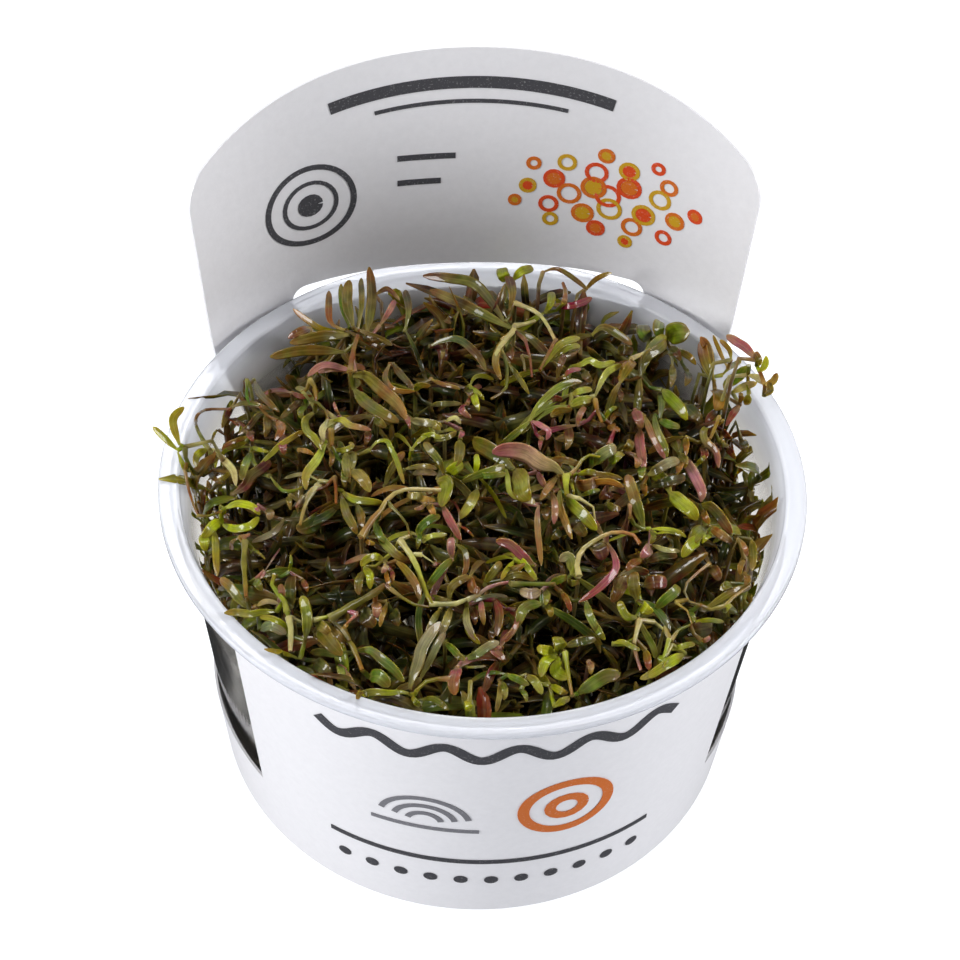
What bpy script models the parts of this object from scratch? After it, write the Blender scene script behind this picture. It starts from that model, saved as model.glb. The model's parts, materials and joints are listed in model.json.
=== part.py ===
"""Rotala: a mat of stem-plant shoots in a clear lidless growing cup with a paper wrap.

Metres, +Z up. The origin is the centre of the cup's underside, +Y points to the header of the wrap.
"""
import math

import bmesh
import bpy
import numpy as np
from mathutils import Vector

MM = 0.001

# Driving dimensions, in metres
RIM_RADIUS = 42.0 * MM          # outer edge of the flange
CUP_HEIGHT = 49.0 * MM          # underside to the top of the flange
BASE_RADIUS = 35.7 * MM         # outer wall carried down to the underside
WALL_SLOPE = 0.0785             # growth of the radius for each metre of height
WALL = 0.75 * MM
FLOOR = 0.8 * MM
FLANGE = 0.7 * MM
LIP_DROP = 1.05 * MM            # turned-down edge of the flange
HEEL = 1.0 * MM                 # corner between the floor and the wall, inside
BASE_HEEL = 1.2 * MM            # corner between the underside and the wall, outside
MOUTH_DROP = 1.2 * MM           # height of the rounding from the wall into the flange
MOUTH_REACH = 0.9 * MM          # how far that rounding reaches outwards
MOUTH_BEND = 0.29               # share of both at the middle of the rounding
FLANGE_EDGE = 0.3 * MM          # rounding of the flange's outer edge
CLEARANCE = 0.3 * MM            # gap between pieces that touch

PAPER = 0.35 * MM
WRAP_GAP = CLEARANCE + PAPER / 2    # cup wall to the middle of the paper
WRAP_LOW = 0.8 * MM
BAND_TOP = 13.0 * MM            # low band that shows below the side windows
FRONT_HALF_ANGLE = math.radians(53.5)
FRONT_TOP = 47.3 * MM
HEADER_HALF_ANGLE = math.radians(55.0)
HEADER_RISE = 35.7 * MM         # top of the header above the rim
HEADER_ARC = 90.0 * MM          # radius of the header's arched top
SHOULDER = 3.5 * MM             # rounding of the header's upper corners
SLOT_HALF_ANGLE = math.radians(36.0)
SLOT_LOW = -3.6 * MM            # slot edges, measured from the rim
SLOT_HIGH = 0.8 * MM
BULGE = 3.93 * MM               # how far the header stands off the wall beside the slot
BULGE_ANGLE = math.radians(57.0)
BULGE_START = 15.0 * MM         # the paper leaves the wall this far below the rim
SLOT_COLUMNS = 9                # columns of the paper along half of the slot
SHOULDER_COLUMNS = 4            # and from the slot's end to the header's shoulder
WINDOW_COLUMNS = 14
FRONT_COLUMNS = 21
PANEL_ROWS = 4
SLOT_END_SHARES = (0.5, 0.85, 1.0)          # columns crowd into the slot's round end
SHOULDER_SHARES = (0.45, 0.8, 0.95, 1.0)    # and into the header's round shoulder

GEL_TOP = 11.0 * MM
GEL_HEEL = 1.2 * MM
CANOPY_MOUND = 5.5 * MM         # middle of the mat above the rim
CANOPY_TILT = 0.05              # the mat rises towards the header
MAT_RADIUS = 38.0 * MM
CELL_GAP = 0.2 * MM             # each tuft stops this far inside its cell
INNER_RINGS = (9.5 * MM, 23.5 * MM)
INNER_COUNT = 6
OUTER_COUNT = 12
OUTER_START = 15.0              # direction in degrees where the first outer cell starts
TUFT_FOOT = 0.62                # share of its cell that a tuft fills at the gel
TUFT_WAIST = (24.0 * MM, 0.82)  # height and share half way up
TUFT_CHEST = (38.0 * MM, 1.0)   # height and share where it is full
CROWN_EDGE = 0.97               # share at the crown's lobed edge
CROWN_MIDDLE = 0.55             # share at the raised middle of the crown
LOBES = (0.5 * MM, 2.0 * MM)    # least and most depth of a lobe at the crown's edge
NOTCH = 2.5 * MM                # every other lobe is a notch, this much deeper
EDGE_DROP = 2.5 * MM            # the crown's edge lies this far under the canopy
CROWN_LOBE = 1.5 * MM
SQUARENESS = 0.42               # power that rounds a tuft's square outline

STEM_RADIUS = 0.5 * MM
STEM_SIDES = 6
BLADE_WIDTHS = (0.35, 0.7, 0.95, 1.0, 0.95, 0.75, 0.3)  # shares of a leaf's width from base to tip
BLADE_THICKNESS = 0.32          # share of the half width
BLADE_FACE = (0.1, -0.6, 0.8)   # direction that the leaves of the single shoots look in

ROUND_STEPS = 60
TUFT_SIDES = 14


def make_material(name, color, roughness, transmission=0.0, subsurface=0.0):
    material = bpy.data.materials.new(name)
    material.use_nodes = True
    shader = material.node_tree.nodes["Principled BSDF"]
    shader.inputs["Base Color"].default_value = (*color, 1.0)
    shader.inputs["Roughness"].default_value = roughness
    shader.inputs["Metallic"].default_value = 0.0
    shader.inputs["Transmission Weight"].default_value = transmission
    shader.inputs["Subsurface Weight"].default_value = subsurface
    return material


def add_object(name, points, faces, material, smooth_angle=40.0):
    """A mesh object whose faces all point outwards, shaded smooth up to the given crease angle."""
    mesh = bpy.data.meshes.new(name)
    mesh.from_pydata([tuple(point) for point in points], [], faces)
    shape = bmesh.new()
    shape.from_mesh(mesh)
    bmesh.ops.recalc_face_normals(shape, faces=shape.faces)
    shape.to_mesh(mesh)
    shape.free()
    mesh.shade_smooth()
    mesh.set_sharp_from_angle(angle=math.radians(smooth_angle))
    mesh.materials.append(material)
    thing = bpy.data.objects.new(name, mesh)
    bpy.context.scene.collection.objects.link(thing)
    return thing


def loft(rings):
    """Points and faces of a closed skin through rings of equal count, with a fan at each end."""
    count = len(rings[0])
    points = [point for ring in rings for point in ring]
    faces = []
    for level in range(len(rings) - 1):
        for side in range(count):
            low, nxt = level * count + side, level * count + (side + 1) % count
            faces.append((low, nxt, nxt + count, low + count))
    for ring, first in ((rings[0], 0), (rings[-1], (len(rings) - 1) * count)):
        middle = sum((Vector(point) for point in ring), Vector()) / count
        points.append(middle)
        faces += [(first + side, first + (side + 1) % count, len(points) - 1) for side in range(count)]
    return points, faces


def turned(name, profile, material):
    """A round piece: the (radius, height) profile runs from the axis, up, over and down the outside."""
    mesh = bpy.data.meshes.new(name)
    edges = [(i, i + 1) for i in range(len(profile) - 1)]
    mesh.from_pydata([(radius, 0.0, height) for radius, height in profile], edges, [])
    mesh.materials.append(material)
    thing = bpy.data.objects.new(name, mesh)
    bpy.context.scene.collection.objects.link(thing)
    screw = thing.modifiers.new("turn", "SCREW")
    screw.axis = "Z"
    screw.angle = math.tau
    screw.steps = screw.render_steps = ROUND_STEPS
    screw.use_merge_vertices = True
    screw.merge_threshold = 1e-5
    screw.use_smooth_shade = True
    return thing


def outer_wall(height):
    return BASE_RADIUS + WALL_SLOPE * height


def inner_wall(height):
    return outer_wall(height) - WALL


# The clear cup: floor, tapered wall, flange with a rounded inner edge and a turned-down lip
def make_cup(material):
    rim = CUP_HEIGHT
    under = rim - FLANGE
    lip_inner = RIM_RADIUS - FLANGE
    profile = [
        (0.0, FLOOR),
        (inner_wall(FLOOR) - HEEL, FLOOR),
        (inner_wall(FLOOR + HEEL), FLOOR + HEEL),
        (inner_wall(rim - MOUTH_DROP), rim - MOUTH_DROP),
        (inner_wall(rim) + MOUTH_BEND * MOUTH_REACH, rim - MOUTH_BEND * MOUTH_DROP),
        (inner_wall(rim) + MOUTH_REACH, rim),
        (RIM_RADIUS - FLANGE_EDGE, rim),
        (RIM_RADIUS, rim - FLANGE_EDGE),
        (RIM_RADIUS, rim - LIP_DROP),
        (lip_inner, rim - LIP_DROP),
        (lip_inner, under),
        (outer_wall(under), under),
        (outer_wall(BASE_HEEL), BASE_HEEL),
        (BASE_RADIUS - HEEL, 0.0),
        (0.0, 0.0),
    ]
    return turned("cup", profile, material)


# The paper wrap: one sheet, laid out in columns round the axis, then given its thickness
def wrap_radius(back_angle, height):
    """Middle of the paper. It hugs the wall, and swells past the flange on both sides of the slot."""
    hug = outer_wall(height) + WRAP_GAP
    if abs(back_angle) > BULGE_ANGLE:
        return hug
    swell = BULGE * (1 - math.cos(math.pi * back_angle / BULGE_ANGLE)) / 2
    leave = min(1.0, max(0.0, (height - CUP_HEIGHT + BULGE_START) / BULGE_START))
    return hug + swell * leave * leave * (3 - 2 * leave)


def wrap_point(back_angle, height):
    radius = wrap_radius(back_angle, height)
    return (-radius * math.sin(back_angle), radius * math.cos(back_angle), height)


def header_top(back_angle):
    """Height of the arched top edge, with rounded shoulders down to the straight sides."""
    reach = wrap_radius(back_angle, CUP_HEIGHT) * abs(back_angle)
    side = wrap_radius(HEADER_HALF_ANGLE, CUP_HEIGHT) * HEADER_HALF_ANGLE
    arch = HEADER_RISE - HEADER_ARC + math.sqrt(HEADER_ARC**2 - reach**2)
    into = max(0.0, reach - (side - SHOULDER)) / SHOULDER
    return CUP_HEIGHT + arch - SHOULDER * (1 - math.sqrt(max(0.0, 1 - into * into)))


def slot_edges(back_angle):
    """Lower and upper edge of the slot, which meet in a rounded end."""
    middle = CUP_HEIGHT + (SLOT_LOW + SLOT_HIGH) / 2
    half = (SLOT_HIGH - SLOT_LOW) / 2
    end_angle = half / RIM_RADIUS
    into = max(0.0, abs(back_angle) - (SLOT_HALF_ANGLE - end_angle)) / end_angle
    half *= math.sqrt(max(0.0, 1 - into * into))
    return middle - half, middle + half


def spread(first, last, count):
    return [first + (last - first) * i / (count - 1) for i in range(count)]


def label_columns():
    """Angles of the paper's columns: those of the back panel, of one window and of the front panel."""
    slot_end = SLOT_HALF_ANGLE - (SLOT_HIGH - SLOT_LOW) / 2 / RIM_RADIUS
    side_angle = SHOULDER / wrap_radius(HEADER_HALF_ANGLE, CUP_HEIGHT)
    half_back = spread(0.0, slot_end, SLOT_COLUMNS)
    half_back += [slot_end + (SLOT_HALF_ANGLE - slot_end) * share for share in SLOT_END_SHARES]
    half_back += spread(SLOT_HALF_ANGLE, HEADER_HALF_ANGLE - side_angle, SHOULDER_COLUMNS)[1:]
    half_back += [HEADER_HALF_ANGLE - side_angle * (1 - share) for share in SHOULDER_SHARES]
    back = [-angle for angle in reversed(half_back[1:])] + half_back
    window = spread(HEADER_HALF_ANGLE, math.pi - FRONT_HALF_ANGLE, WINDOW_COLUMNS)[1:-1]
    front = spread(math.pi - FRONT_HALF_ANGLE, math.pi + FRONT_HALF_ANGLE, FRONT_COLUMNS)
    return back, window, front


def make_label(material):
    back, window, front = label_columns()
    far_window = [math.tau - angle for angle in reversed(window)]
    columns = back + window + front + far_window
    sheet = bmesh.new()

    def column(angle, heights):
        turn = angle if angle <= math.pi else angle - math.tau
        return [sheet.verts.new(wrap_point(turn, height)) for height in heights]

    def strip(left, right):
        for i in range(len(left) - 1):
            sheet.faces.new((left[i], right[i], right[i + 1], left[i + 1]))

    bands = [column(angle, (WRAP_LOW, BAND_TOP)) for angle in columns]
    for i, band in enumerate(bands):
        strip(band, bands[(i + 1) % len(bands)])

    front_start = len(back) + len(window)
    panels = [
        [bands[front_start + i][1]] + column(angle, (FRONT_TOP,)) for i, angle in enumerate(front)
    ]
    for left, right in zip(panels, panels[1:]):
        strip(left, right)

    lows, highs = [], []
    for i, angle in enumerate(back):
        low, high = slot_edges(angle)
        rows = spread(CUP_HEIGHT - BULGE_START, low, PANEL_ROWS)
        lows.append([bands[i][1]] + column(angle, rows))
        upper = spread(high, header_top(angle), PANEL_ROWS)
        closed = abs(angle) >= SLOT_HALF_ANGLE - 1e-9
        highs.append([lows[-1][-1]] + column(angle, upper[1:]) if closed else column(angle, upper))
    for rows in (lows, highs):
        for left, right in zip(rows, rows[1:]):
            strip(left, right)

    bmesh.ops.recalc_face_normals(sheet, faces=sheet.faces)
    mesh = bpy.data.meshes.new("label")
    sheet.to_mesh(mesh)
    sheet.free()
    mesh.shade_smooth()
    mesh.materials.append(material)
    thing = bpy.data.objects.new("label", mesh)
    bpy.context.scene.collection.objects.link(thing)
    solid = thing.modifiers.new("paper", "SOLIDIFY")
    solid.thickness = PAPER
    solid.offset = 0.0
    solid.use_even_offset = True
    return thing


def make_gel(material):
    low = FLOOR + CLEARANCE
    profile = [
        (0.0, GEL_TOP),
        (inner_wall(GEL_TOP) - CLEARANCE, GEL_TOP),
        (inner_wall(low + GEL_HEEL) - CLEARANCE, low + GEL_HEEL),
        (inner_wall(low) - CLEARANCE - GEL_HEEL, low),
        (0.0, low),
    ]
    return turned("culture_gel", profile, material)


# The mat of shoots: tufts in rings of cells, each widening from the gel to a lobed crown
def canopy(x, y):
    """Height that the leaf tips of the mat reach."""
    away = min(1.0, (x * x + y * y) / MAT_RADIUS**2)
    return CUP_HEIGHT + CANOPY_MOUND * (1 - away) + CANOPY_TILT * y


def squircle(turn):
    """A point on a rounded square from -1 to 1, at this turn round its middle."""
    across, along = math.cos(turn), math.sin(turn)
    return (
        math.copysign(abs(across) ** SQUARENESS, across),
        math.copysign(abs(along) ** SQUARENESS, along),
    )


def tuft_ring(cell, height, scale, lobes=None):
    """One ring of a tuft inside its polar cell, at one height or raised to the canopy."""
    near, far, first, last = cell
    far = min(far, inner_wall(min(height or CUP_HEIGHT, CUP_HEIGHT)) - CLEARANCE)
    ring = []
    for side in range(TUFT_SIDES):
        along, across = squircle(math.tau * side / TUFT_SIDES)
        if near == 0.0:
            turn = math.tau * side / TUFT_SIDES
            radius = (far - CELL_GAP) * scale
        else:
            radius = (near + far) / 2 + ((far - near) / 2 - CELL_GAP) * along * scale
            half_turn = (last - first) / 2 - CELL_GAP / radius
            turn = (first + last) / 2 + half_turn * across * scale
        x, y = radius * math.cos(turn), radius * math.sin(turn)
        level = height if height else canopy(x, y) - lobes[side]
        ring.append((x, y, level))
    return ring


def make_tuft(name, cell, material, seed):
    random = np.random.default_rng(seed)
    lobes = random.uniform(*LOBES, TUFT_SIDES)
    lobes[::2] += NOTCH
    crown = random.uniform(0.0, CROWN_LOBE, TUFT_SIDES)
    rings = [
        tuft_ring(cell, GEL_TOP + CLEARANCE, TUFT_FOOT),
        tuft_ring(cell, *TUFT_WAIST),
        tuft_ring(cell, *TUFT_CHEST),
        tuft_ring(cell, None, CROWN_EDGE, lobes + EDGE_DROP),
        tuft_ring(cell, None, CROWN_MIDDLE, crown),
    ]
    points, faces = loft(rings)
    return add_object(name, points, faces, material, 60.0)


def make_tufts(materials):
    inner, outer = INNER_RINGS
    make_tuft("clump_centre", (0.0, inner, 0.0, math.tau), materials[0], 1)
    wall_side = MAT_RADIUS + CLEARANCE
    rings = (("inner", INNER_COUNT, inner, outer, 0.0), ("outer", OUTER_COUNT, outer, wall_side, OUTER_START))
    for word, count, near, far, start in rings:
        step = math.tau / count
        for i in range(count):
            first = math.radians(start) + step * i
            cell = (near, far, first, first + step)
            material = materials[(i + count) % len(materials)]
            make_tuft(f"clump_{word}_{i + 1}", cell, material, 10 * count + i)


# Single shoots that stand out of the mat: a round stem with flat leaves joined to it
def frame_along(points, i):
    """Unit direction of the path at a point, and the sideways and upward directions of a leaf there."""
    ahead = points[min(i + 1, len(points) - 1)] - points[max(i - 1, 0)]
    ahead.normalize()
    across = ahead.cross(Vector(BLADE_FACE))
    across.normalize()
    return ahead, across, across.cross(ahead)


def smooth_path(points, count):
    """Points at even steps on a smooth curve through the given ones, in millimetres."""
    given = [Vector(point) * MM for point in points]
    ends = [2 * given[0] - given[1]] + given + [2 * given[-1] - given[-2]]
    path = []
    for step in range(count):
        place = step * (len(given) - 1) / (count - 1)
        i = min(int(place), len(given) - 2)
        t = place - i
        a, b, c, d = ends[i : i + 4]
        bend = 2 * b + (c - a) * t + (2 * a - 5 * b + 4 * c - d) * t * t + (3 * b - a - 3 * c + d) * t**3
        path.append(bend / 2)
    return path


def stem_mesh(points):
    path = smooth_path(points, 3 * len(points))
    turns = [math.tau * side / STEM_SIDES for side in range(STEM_SIDES)]
    rings = []
    for i in range(len(path)):
        _, across, above = frame_along(path, i)
        rings.append([path[i] + STEM_RADIUS * (math.cos(t) * across + math.sin(t) * above) for t in turns])
    return loft(rings)


def leaf_mesh(points, half_width):
    """A flat blade with a rounded tip, about a third as thick as it is wide."""
    path = smooth_path(points, len(BLADE_WIDTHS))
    rings = []
    for i, width in enumerate(BLADE_WIDTHS):
        _, across, above = frame_along(path, i)
        wide = across * half_width * width
        thick = above * half_width * BLADE_THICKNESS * max(width, 0.6)
        rings.append([path[i] + wide, path[i] + thick, path[i] - wide, path[i] - thick])
    return loft(rings)


def make_sprig(name, stem, leaves, material):
    """A stem joined to its leaves by one Boolean union. Each leaf is (half width in mm, path)."""
    thing = add_object(name, *stem_mesh(stem), material)
    blades = bpy.data.collections.new(name + "_blades")
    bpy.context.scene.collection.children.link(blades)
    for i, (half_width, path) in enumerate(leaves):
        blade = add_object(f"{name}_blade_{i + 1}", *leaf_mesh(path, half_width * MM), material)
        bpy.context.scene.collection.objects.unlink(blade)
        blades.objects.link(blade)
        blade.hide_render = True
        blade.display_type = "WIRE"
    blades.hide_render = True
    join = thing.modifiers.new("join leaves", "BOOLEAN")
    join.operation = "UNION"
    join.operand_type = "COLLECTION"
    join.collection = blades
    join.solver = "EXACT"
    return thing


# Stem and leaf paths in millimetres, in the object's own frame
def make_sprigs(green, lime, red):
    make_sprig(
        "sprig_left_overhang",
        [(-35.4, -0.2, 51.4), (-36.8, -2.4, 52.6), (-38.0, -1.6, 53.8), (-38.7, 0.7, 54.4)],
        [
            (0.75, [(-38.7, 0.5, 54.2), (-40.3, 1.2, 54.8), (-42.4, 4.2, 54.4)]),
            (1.0, [(-38.6, 0.5, 54.2), (-39.2, 2.3, 56.0), (-38.4, 4.7, 57.0)]),
        ],
        lime,
    )
    make_sprig(
        "sprig_left_hook",
        [(-33.6, 5.6, 51.4), (-34.8, 5.2, 52.6), (-36.4, 5.4, 53.6), (-36.6, 7.6, 54.0)],
        [
            (0.9, [(-36.6, 7.4, 53.9), (-35.8, 9.0, 54.0), (-33.9, 9.8, 53.2)]),
            (0.9, [(-34.9, 5.2, 52.7), (-33.0, 6.6, 54.2), (-31.6, 8.8, 54.8)]),
        ],
        green,
    )
    make_sprig(
        "sprig_back_fan",
        [(-16.8, 17.6, 53.8), (-16.4, 18.6, 55.0), (-16.2, 19.6, 56.2), (-16.2, 20.0, 57.0)],
        [
            (1.0, [(-16.2, 19.6, 56.4), (-19.0, 19.4, 57.4), (-20.2, 21.4, 61.0)]),
            (1.2, [(-16.2, 19.8, 56.6), (-17.0, 21.3, 58.4), (-17.2, 23.9, 62.2)]),
            (1.2, [(-16.2, 19.6, 56.4), (-14.2, 21.2, 58.4), (-13.8, 24.2, 62.6)]),
            (1.0, [(-16.3, 19.6, 56.2), (-20.6, 20.0, 55.8), (-24.5, 22.2, 56.6)]),
        ],
        green,
    )
    make_sprig(
        "sprig_back_long",
        [(3.3, 17.2, 54.0), (2.7, 18.4, 54.8), (4.0, 19.8, 56.0), (4.8, 20.6, 56.8)],
        [
            (1.2, [(4.6, 20.4, 56.6), (-0.6, 23.4, 57.2), (-6.0, 25.1, 57.4)]),
            (1.3, [(4.7, 20.5, 56.7), (1.2, 24.6, 59.2), (-5.8, 26.9, 60.0)]),
        ],
        green,
    )
    make_sprig(
        "sprig_back_round",
        [(8.0, 22.6, 53.6), (7.0, 24.0, 56.0), (5.6, 25.0, 58.0), (5.0, 25.7, 59.6)],
        [
            (1.3, [(5.1, 25.5, 59.4), (3.9, 26.5, 60.2), (2.4, 27.9, 60.6)]),
            (1.3, [(5.0, 25.5, 59.4), (6.4, 26.6, 60.2), (7.9, 28.4, 60.6)]),
        ],
        lime,
    )
    make_sprig(
        "sprig_back_red",
        [(17.6, 20.6, 53.4), (17.0, 22.4, 54.6), (15.1, 23.3, 55.8), (13.0, 23.7, 57.0)],
        [
            (0.9, [(13.2, 23.6, 56.9), (12.1, 24.8, 59.0), (11.8, 25.0, 61.6)]),
            (0.9, [(15.0, 23.3, 55.9), (16.6, 25.8, 58.0), (19.1, 27.8, 59.0)]),
        ],
        red,
    )
    make_sprig(
        "sprig_right_round",
        [(24.6, 14.4, 52.6), (25.0, 15.8, 54.0), (25.4, 17.0, 55.2), (25.9, 18.3, 56.4)],
        [
            (1.6, [(25.8, 18.0, 56.2), (27.4, 17.9, 57.2), (29.6, 16.8, 57.2)]),
            (1.4, [(25.8, 18.0, 56.2), (23.8, 19.0, 56.8), (21.6, 20.0, 56.8)]),
        ],
        lime,
    )
    make_sprig(
        "sprig_right_overhang",
        [(32.2, 8.6, 51.6), (33.4, 10.0, 52.8), (35.2, 11.3, 54.4), (37.2, 12.4, 55.4)],
        [
            (0.9, [(36.9, 12.2, 55.2), (36.0, 14.2, 56.6), (33.3, 16.2, 57.6)]),
            (1.0, [(37.0, 12.3, 55.3), (38.8, 12.0, 54.6), (40.2, 11.4, 53.2)]),
            (1.0, [(33.6, 10.1, 53.0), (33.0, 12.6, 55.2), (31.0, 15.2, 57.6)]),
        ],
        red,
    )


def main():
    for thing in list(bpy.data.objects):
        bpy.data.objects.remove(thing, do_unlink=True)
    clear = make_material("clear plastic", (0.95, 0.96, 0.97), 0.08, transmission=1.0)
    paper = make_material("white paper", (0.88, 0.88, 0.9), 0.45)
    jelly = make_material("nutrient gel", (0.85, 0.83, 0.72), 0.1, transmission=0.9)
    olive = make_material("olive shoots", (0.12, 0.17, 0.03), 0.35, subsurface=0.1)
    green = make_material("green shoots", (0.16, 0.26, 0.04), 0.35, subsurface=0.1)
    lime = make_material("lime shoots", (0.35, 0.5, 0.06), 0.35, subsurface=0.1)
    red = make_material("red shoots", (0.42, 0.11, 0.07), 0.35, subsurface=0.1)
    make_cup(clear)
    make_label(paper)
    make_gel(jelly)
    make_tufts((olive, green, red))
    make_sprigs(green, lime, red)


main()
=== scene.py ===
# %% [markdown]
# Rotala shoots in a clear growing cup.
#
# The real object is a thin clear cup with a flat rim, a white paper wrap that
# rises behind it as a header, a disc of nutrient gel, and a dense wet mat of
# stem-plant shoots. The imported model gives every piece's place. This lesson
# makes the looks of each piece and puts it where its solid is.

import json
import math

import bmesh
import bpy
import numpy as np
from mathutils import Matrix, Vector

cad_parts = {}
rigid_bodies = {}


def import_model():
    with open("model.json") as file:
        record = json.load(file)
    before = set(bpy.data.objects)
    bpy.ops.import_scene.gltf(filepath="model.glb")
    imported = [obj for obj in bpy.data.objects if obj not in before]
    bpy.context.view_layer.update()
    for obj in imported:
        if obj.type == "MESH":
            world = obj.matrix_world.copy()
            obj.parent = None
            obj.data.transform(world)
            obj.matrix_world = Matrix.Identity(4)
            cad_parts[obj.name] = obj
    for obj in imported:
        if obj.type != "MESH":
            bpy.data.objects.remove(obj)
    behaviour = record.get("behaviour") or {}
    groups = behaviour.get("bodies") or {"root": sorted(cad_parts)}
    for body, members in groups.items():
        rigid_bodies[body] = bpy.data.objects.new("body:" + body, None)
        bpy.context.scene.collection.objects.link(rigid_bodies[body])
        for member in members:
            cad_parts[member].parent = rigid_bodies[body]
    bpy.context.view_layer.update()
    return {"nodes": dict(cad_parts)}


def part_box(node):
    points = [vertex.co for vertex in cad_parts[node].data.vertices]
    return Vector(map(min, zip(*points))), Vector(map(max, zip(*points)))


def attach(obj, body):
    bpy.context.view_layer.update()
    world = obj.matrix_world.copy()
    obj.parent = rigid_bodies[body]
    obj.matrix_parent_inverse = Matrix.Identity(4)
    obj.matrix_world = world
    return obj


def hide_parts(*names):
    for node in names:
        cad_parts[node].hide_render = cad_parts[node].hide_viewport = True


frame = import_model()
MM = 0.001
print("nodes in the frame:", len(frame["nodes"]))

# %% [markdown]
# Sizes. The rim and the height come from the frame. The rest repeats the few
# dimensions that shape the cup and the wrap, so that every surface here lies
# where its solid lies.

# %% Sizes of the cup and the wrap
RIM_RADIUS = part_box("cup")[1].x
CUP_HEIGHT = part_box("cup")[1].z
BASE_RADIUS = 35.7 * MM
WALL_SLOPE = 0.0785
WALL = 0.75 * MM
FLOOR = 0.8 * MM
FLANGE = 0.7 * MM
LIP_DROP = 1.05 * MM
CLEARANCE = 0.3 * MM
PAPER = 0.35 * MM
WRAP_LOW = 0.8 * MM
BAND_TOP = 13.0 * MM
FRONT_HALF_ANGLE = math.radians(53.5)
FRONT_TOP = 47.3 * MM
HEADER_HALF_ANGLE = math.radians(55.0)
HEADER_RISE = 35.7 * MM
HEADER_ARC = 90.0 * MM
SHOULDER = 3.5 * MM
SLOT_HALF_ANGLE = math.radians(36.0)
SLOT_LOW = -3.6 * MM
SLOT_HIGH = 0.8 * MM
BULGE = 3.93 * MM
BULGE_ANGLE = math.radians(57.0)
BULGE_START = 15.0 * MM
GEL_TOP = 11.0 * MM
print(f"rim radius {RIM_RADIUS / MM:.1f} mm, cup height {CUP_HEIGHT / MM:.1f} mm")


def outer_wall(height):
    return BASE_RADIUS + WALL_SLOPE * height


def inner_wall(height):
    return outer_wall(height) - WALL


# %% [markdown]
# The camera looks down on the rim from the front, a little from the left. Its
# place is also needed further on: shoots are laid where the photograph shows
# them, so a pixel has to be turned into a point on the mat.

# %% The camera
VIEW_DOWN = math.radians(47.26)
VIEW_TURN = math.radians(-5.0)
VIEW_ROLL = math.radians(2.37)
CAMERA_AT = Vector((-15.87, -176.76, 239.10)) * MM
PICTURE = 960
FOCAL_PIXELS = 2000.0
SENSOR = 36.0

camera_back = Vector((0.0, -math.cos(VIEW_DOWN), math.sin(VIEW_DOWN)))
level_right = Vector((1.0, 0.0, 0.0))
level_up = Vector((0.0, math.sin(VIEW_DOWN), math.cos(VIEW_DOWN)))
camera_right = math.cos(VIEW_ROLL) * level_right + math.sin(VIEW_ROLL) * level_up
camera_up = math.cos(VIEW_ROLL) * level_up - math.sin(VIEW_ROLL) * level_right
turn = Matrix.Rotation(VIEW_TURN, 3, "Z")
camera_right, camera_up, camera_back = (turn @ axis for axis in (camera_right, camera_up, camera_back))

camera_data = bpy.data.cameras.new("camera")
camera_data.sensor_width = SENSOR
camera_data.lens = FOCAL_PIXELS / PICTURE * SENSOR
camera_data.clip_start = 0.01
camera = bpy.data.objects.new("camera", camera_data)
bpy.context.scene.collection.objects.link(camera)
looks = Matrix((camera_right, camera_up, camera_back)).transposed().to_4x4()
camera.matrix_world = Matrix.Translation(CAMERA_AT) @ looks
bpy.context.scene.camera = camera
print(f"lens {camera_data.lens:.1f} mm, {FOCAL_PIXELS:.0f} pixels")


def sight_line(x, y):
    """Unit direction from the camera through a pixel of the 960 x 960 picture."""
    middle = PICTURE / 2
    across = (x - middle) / FOCAL_PIXELS * camera_right
    upward = (middle - y) / FOCAL_PIXELS * camera_up
    return (across + upward - camera_back).normalized()


def pixels_to_metres(point, pixels):
    """Real length of so many pixels at this point's distance."""
    distance = (CAMERA_AT - point).dot(camera_back)
    return pixels * distance / FOCAL_PIXELS


# %% [markdown]
# Two small helpers keep the node code short. One adds a node and fills its
# sockets, from a value or from another node's output. The other starts a
# material with a Principled shader.

# %% Helpers for nodes and materials
def add_node(tree, kind, inputs=None, **settings):
    made = tree.nodes.new(kind)
    for name, value in settings.items():
        setattr(made, name, value)
    for name, value in (inputs or {}).items():
        if isinstance(value, bpy.types.NodeSocket):
            tree.links.new(value, made.inputs[name])
        else:
            made.inputs[name].default_value = value
    return made


def linear(code):
    """A linear colour from a six-figure screen colour."""
    parts = [int(code[i : i + 2], 16) / 255 for i in (0, 2, 4)]
    return tuple(part / 12.92 if part <= 0.04045 else ((part + 0.055) / 1.055) ** 2.4 for part in parts)


def start_material(name, **values):
    """A material, its tree and its Principled shader, with the given socket values."""
    material = bpy.data.materials.new(name)
    material.use_nodes = True
    tree = material.node_tree
    shader = tree.nodes["Principled BSDF"]
    for socket, value in values.items():
        shader.inputs[socket.replace("_", " ")].default_value = value
    return material, tree, shader


def object_noise(tree, scale, detail=3.0, roughness=0.5):
    """Noise in the object's own space. The scale is in repeats for each metre."""
    place = add_node(tree, "ShaderNodeTexCoord")
    return add_node(
        tree,
        "ShaderNodeTexNoise",
        {"Vector": place.outputs["Object"], "Scale": scale, "Detail": detail, "Roughness": roughness},
    )


def bumped(tree, shader, height, strength, distance):
    bump = add_node(
        tree, "ShaderNodeBump", {"Height": height, "Strength": strength, "Distance": distance}
    )
    tree.links.new(bump.outputs["Normal"], shader.inputs["Normal"])
    return bump


def add_piece(name, mesh, material, node_names):
    """A finished piece: it rides on the one body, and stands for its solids."""
    piece = bpy.data.objects.new(name, mesh)
    bpy.context.scene.collection.objects.link(piece)
    if material is not None:
        mesh.materials.clear()
        mesh.materials.append(material)
    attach(piece, "root")
    if node_names:
        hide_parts(*node_names)
    return piece


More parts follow.
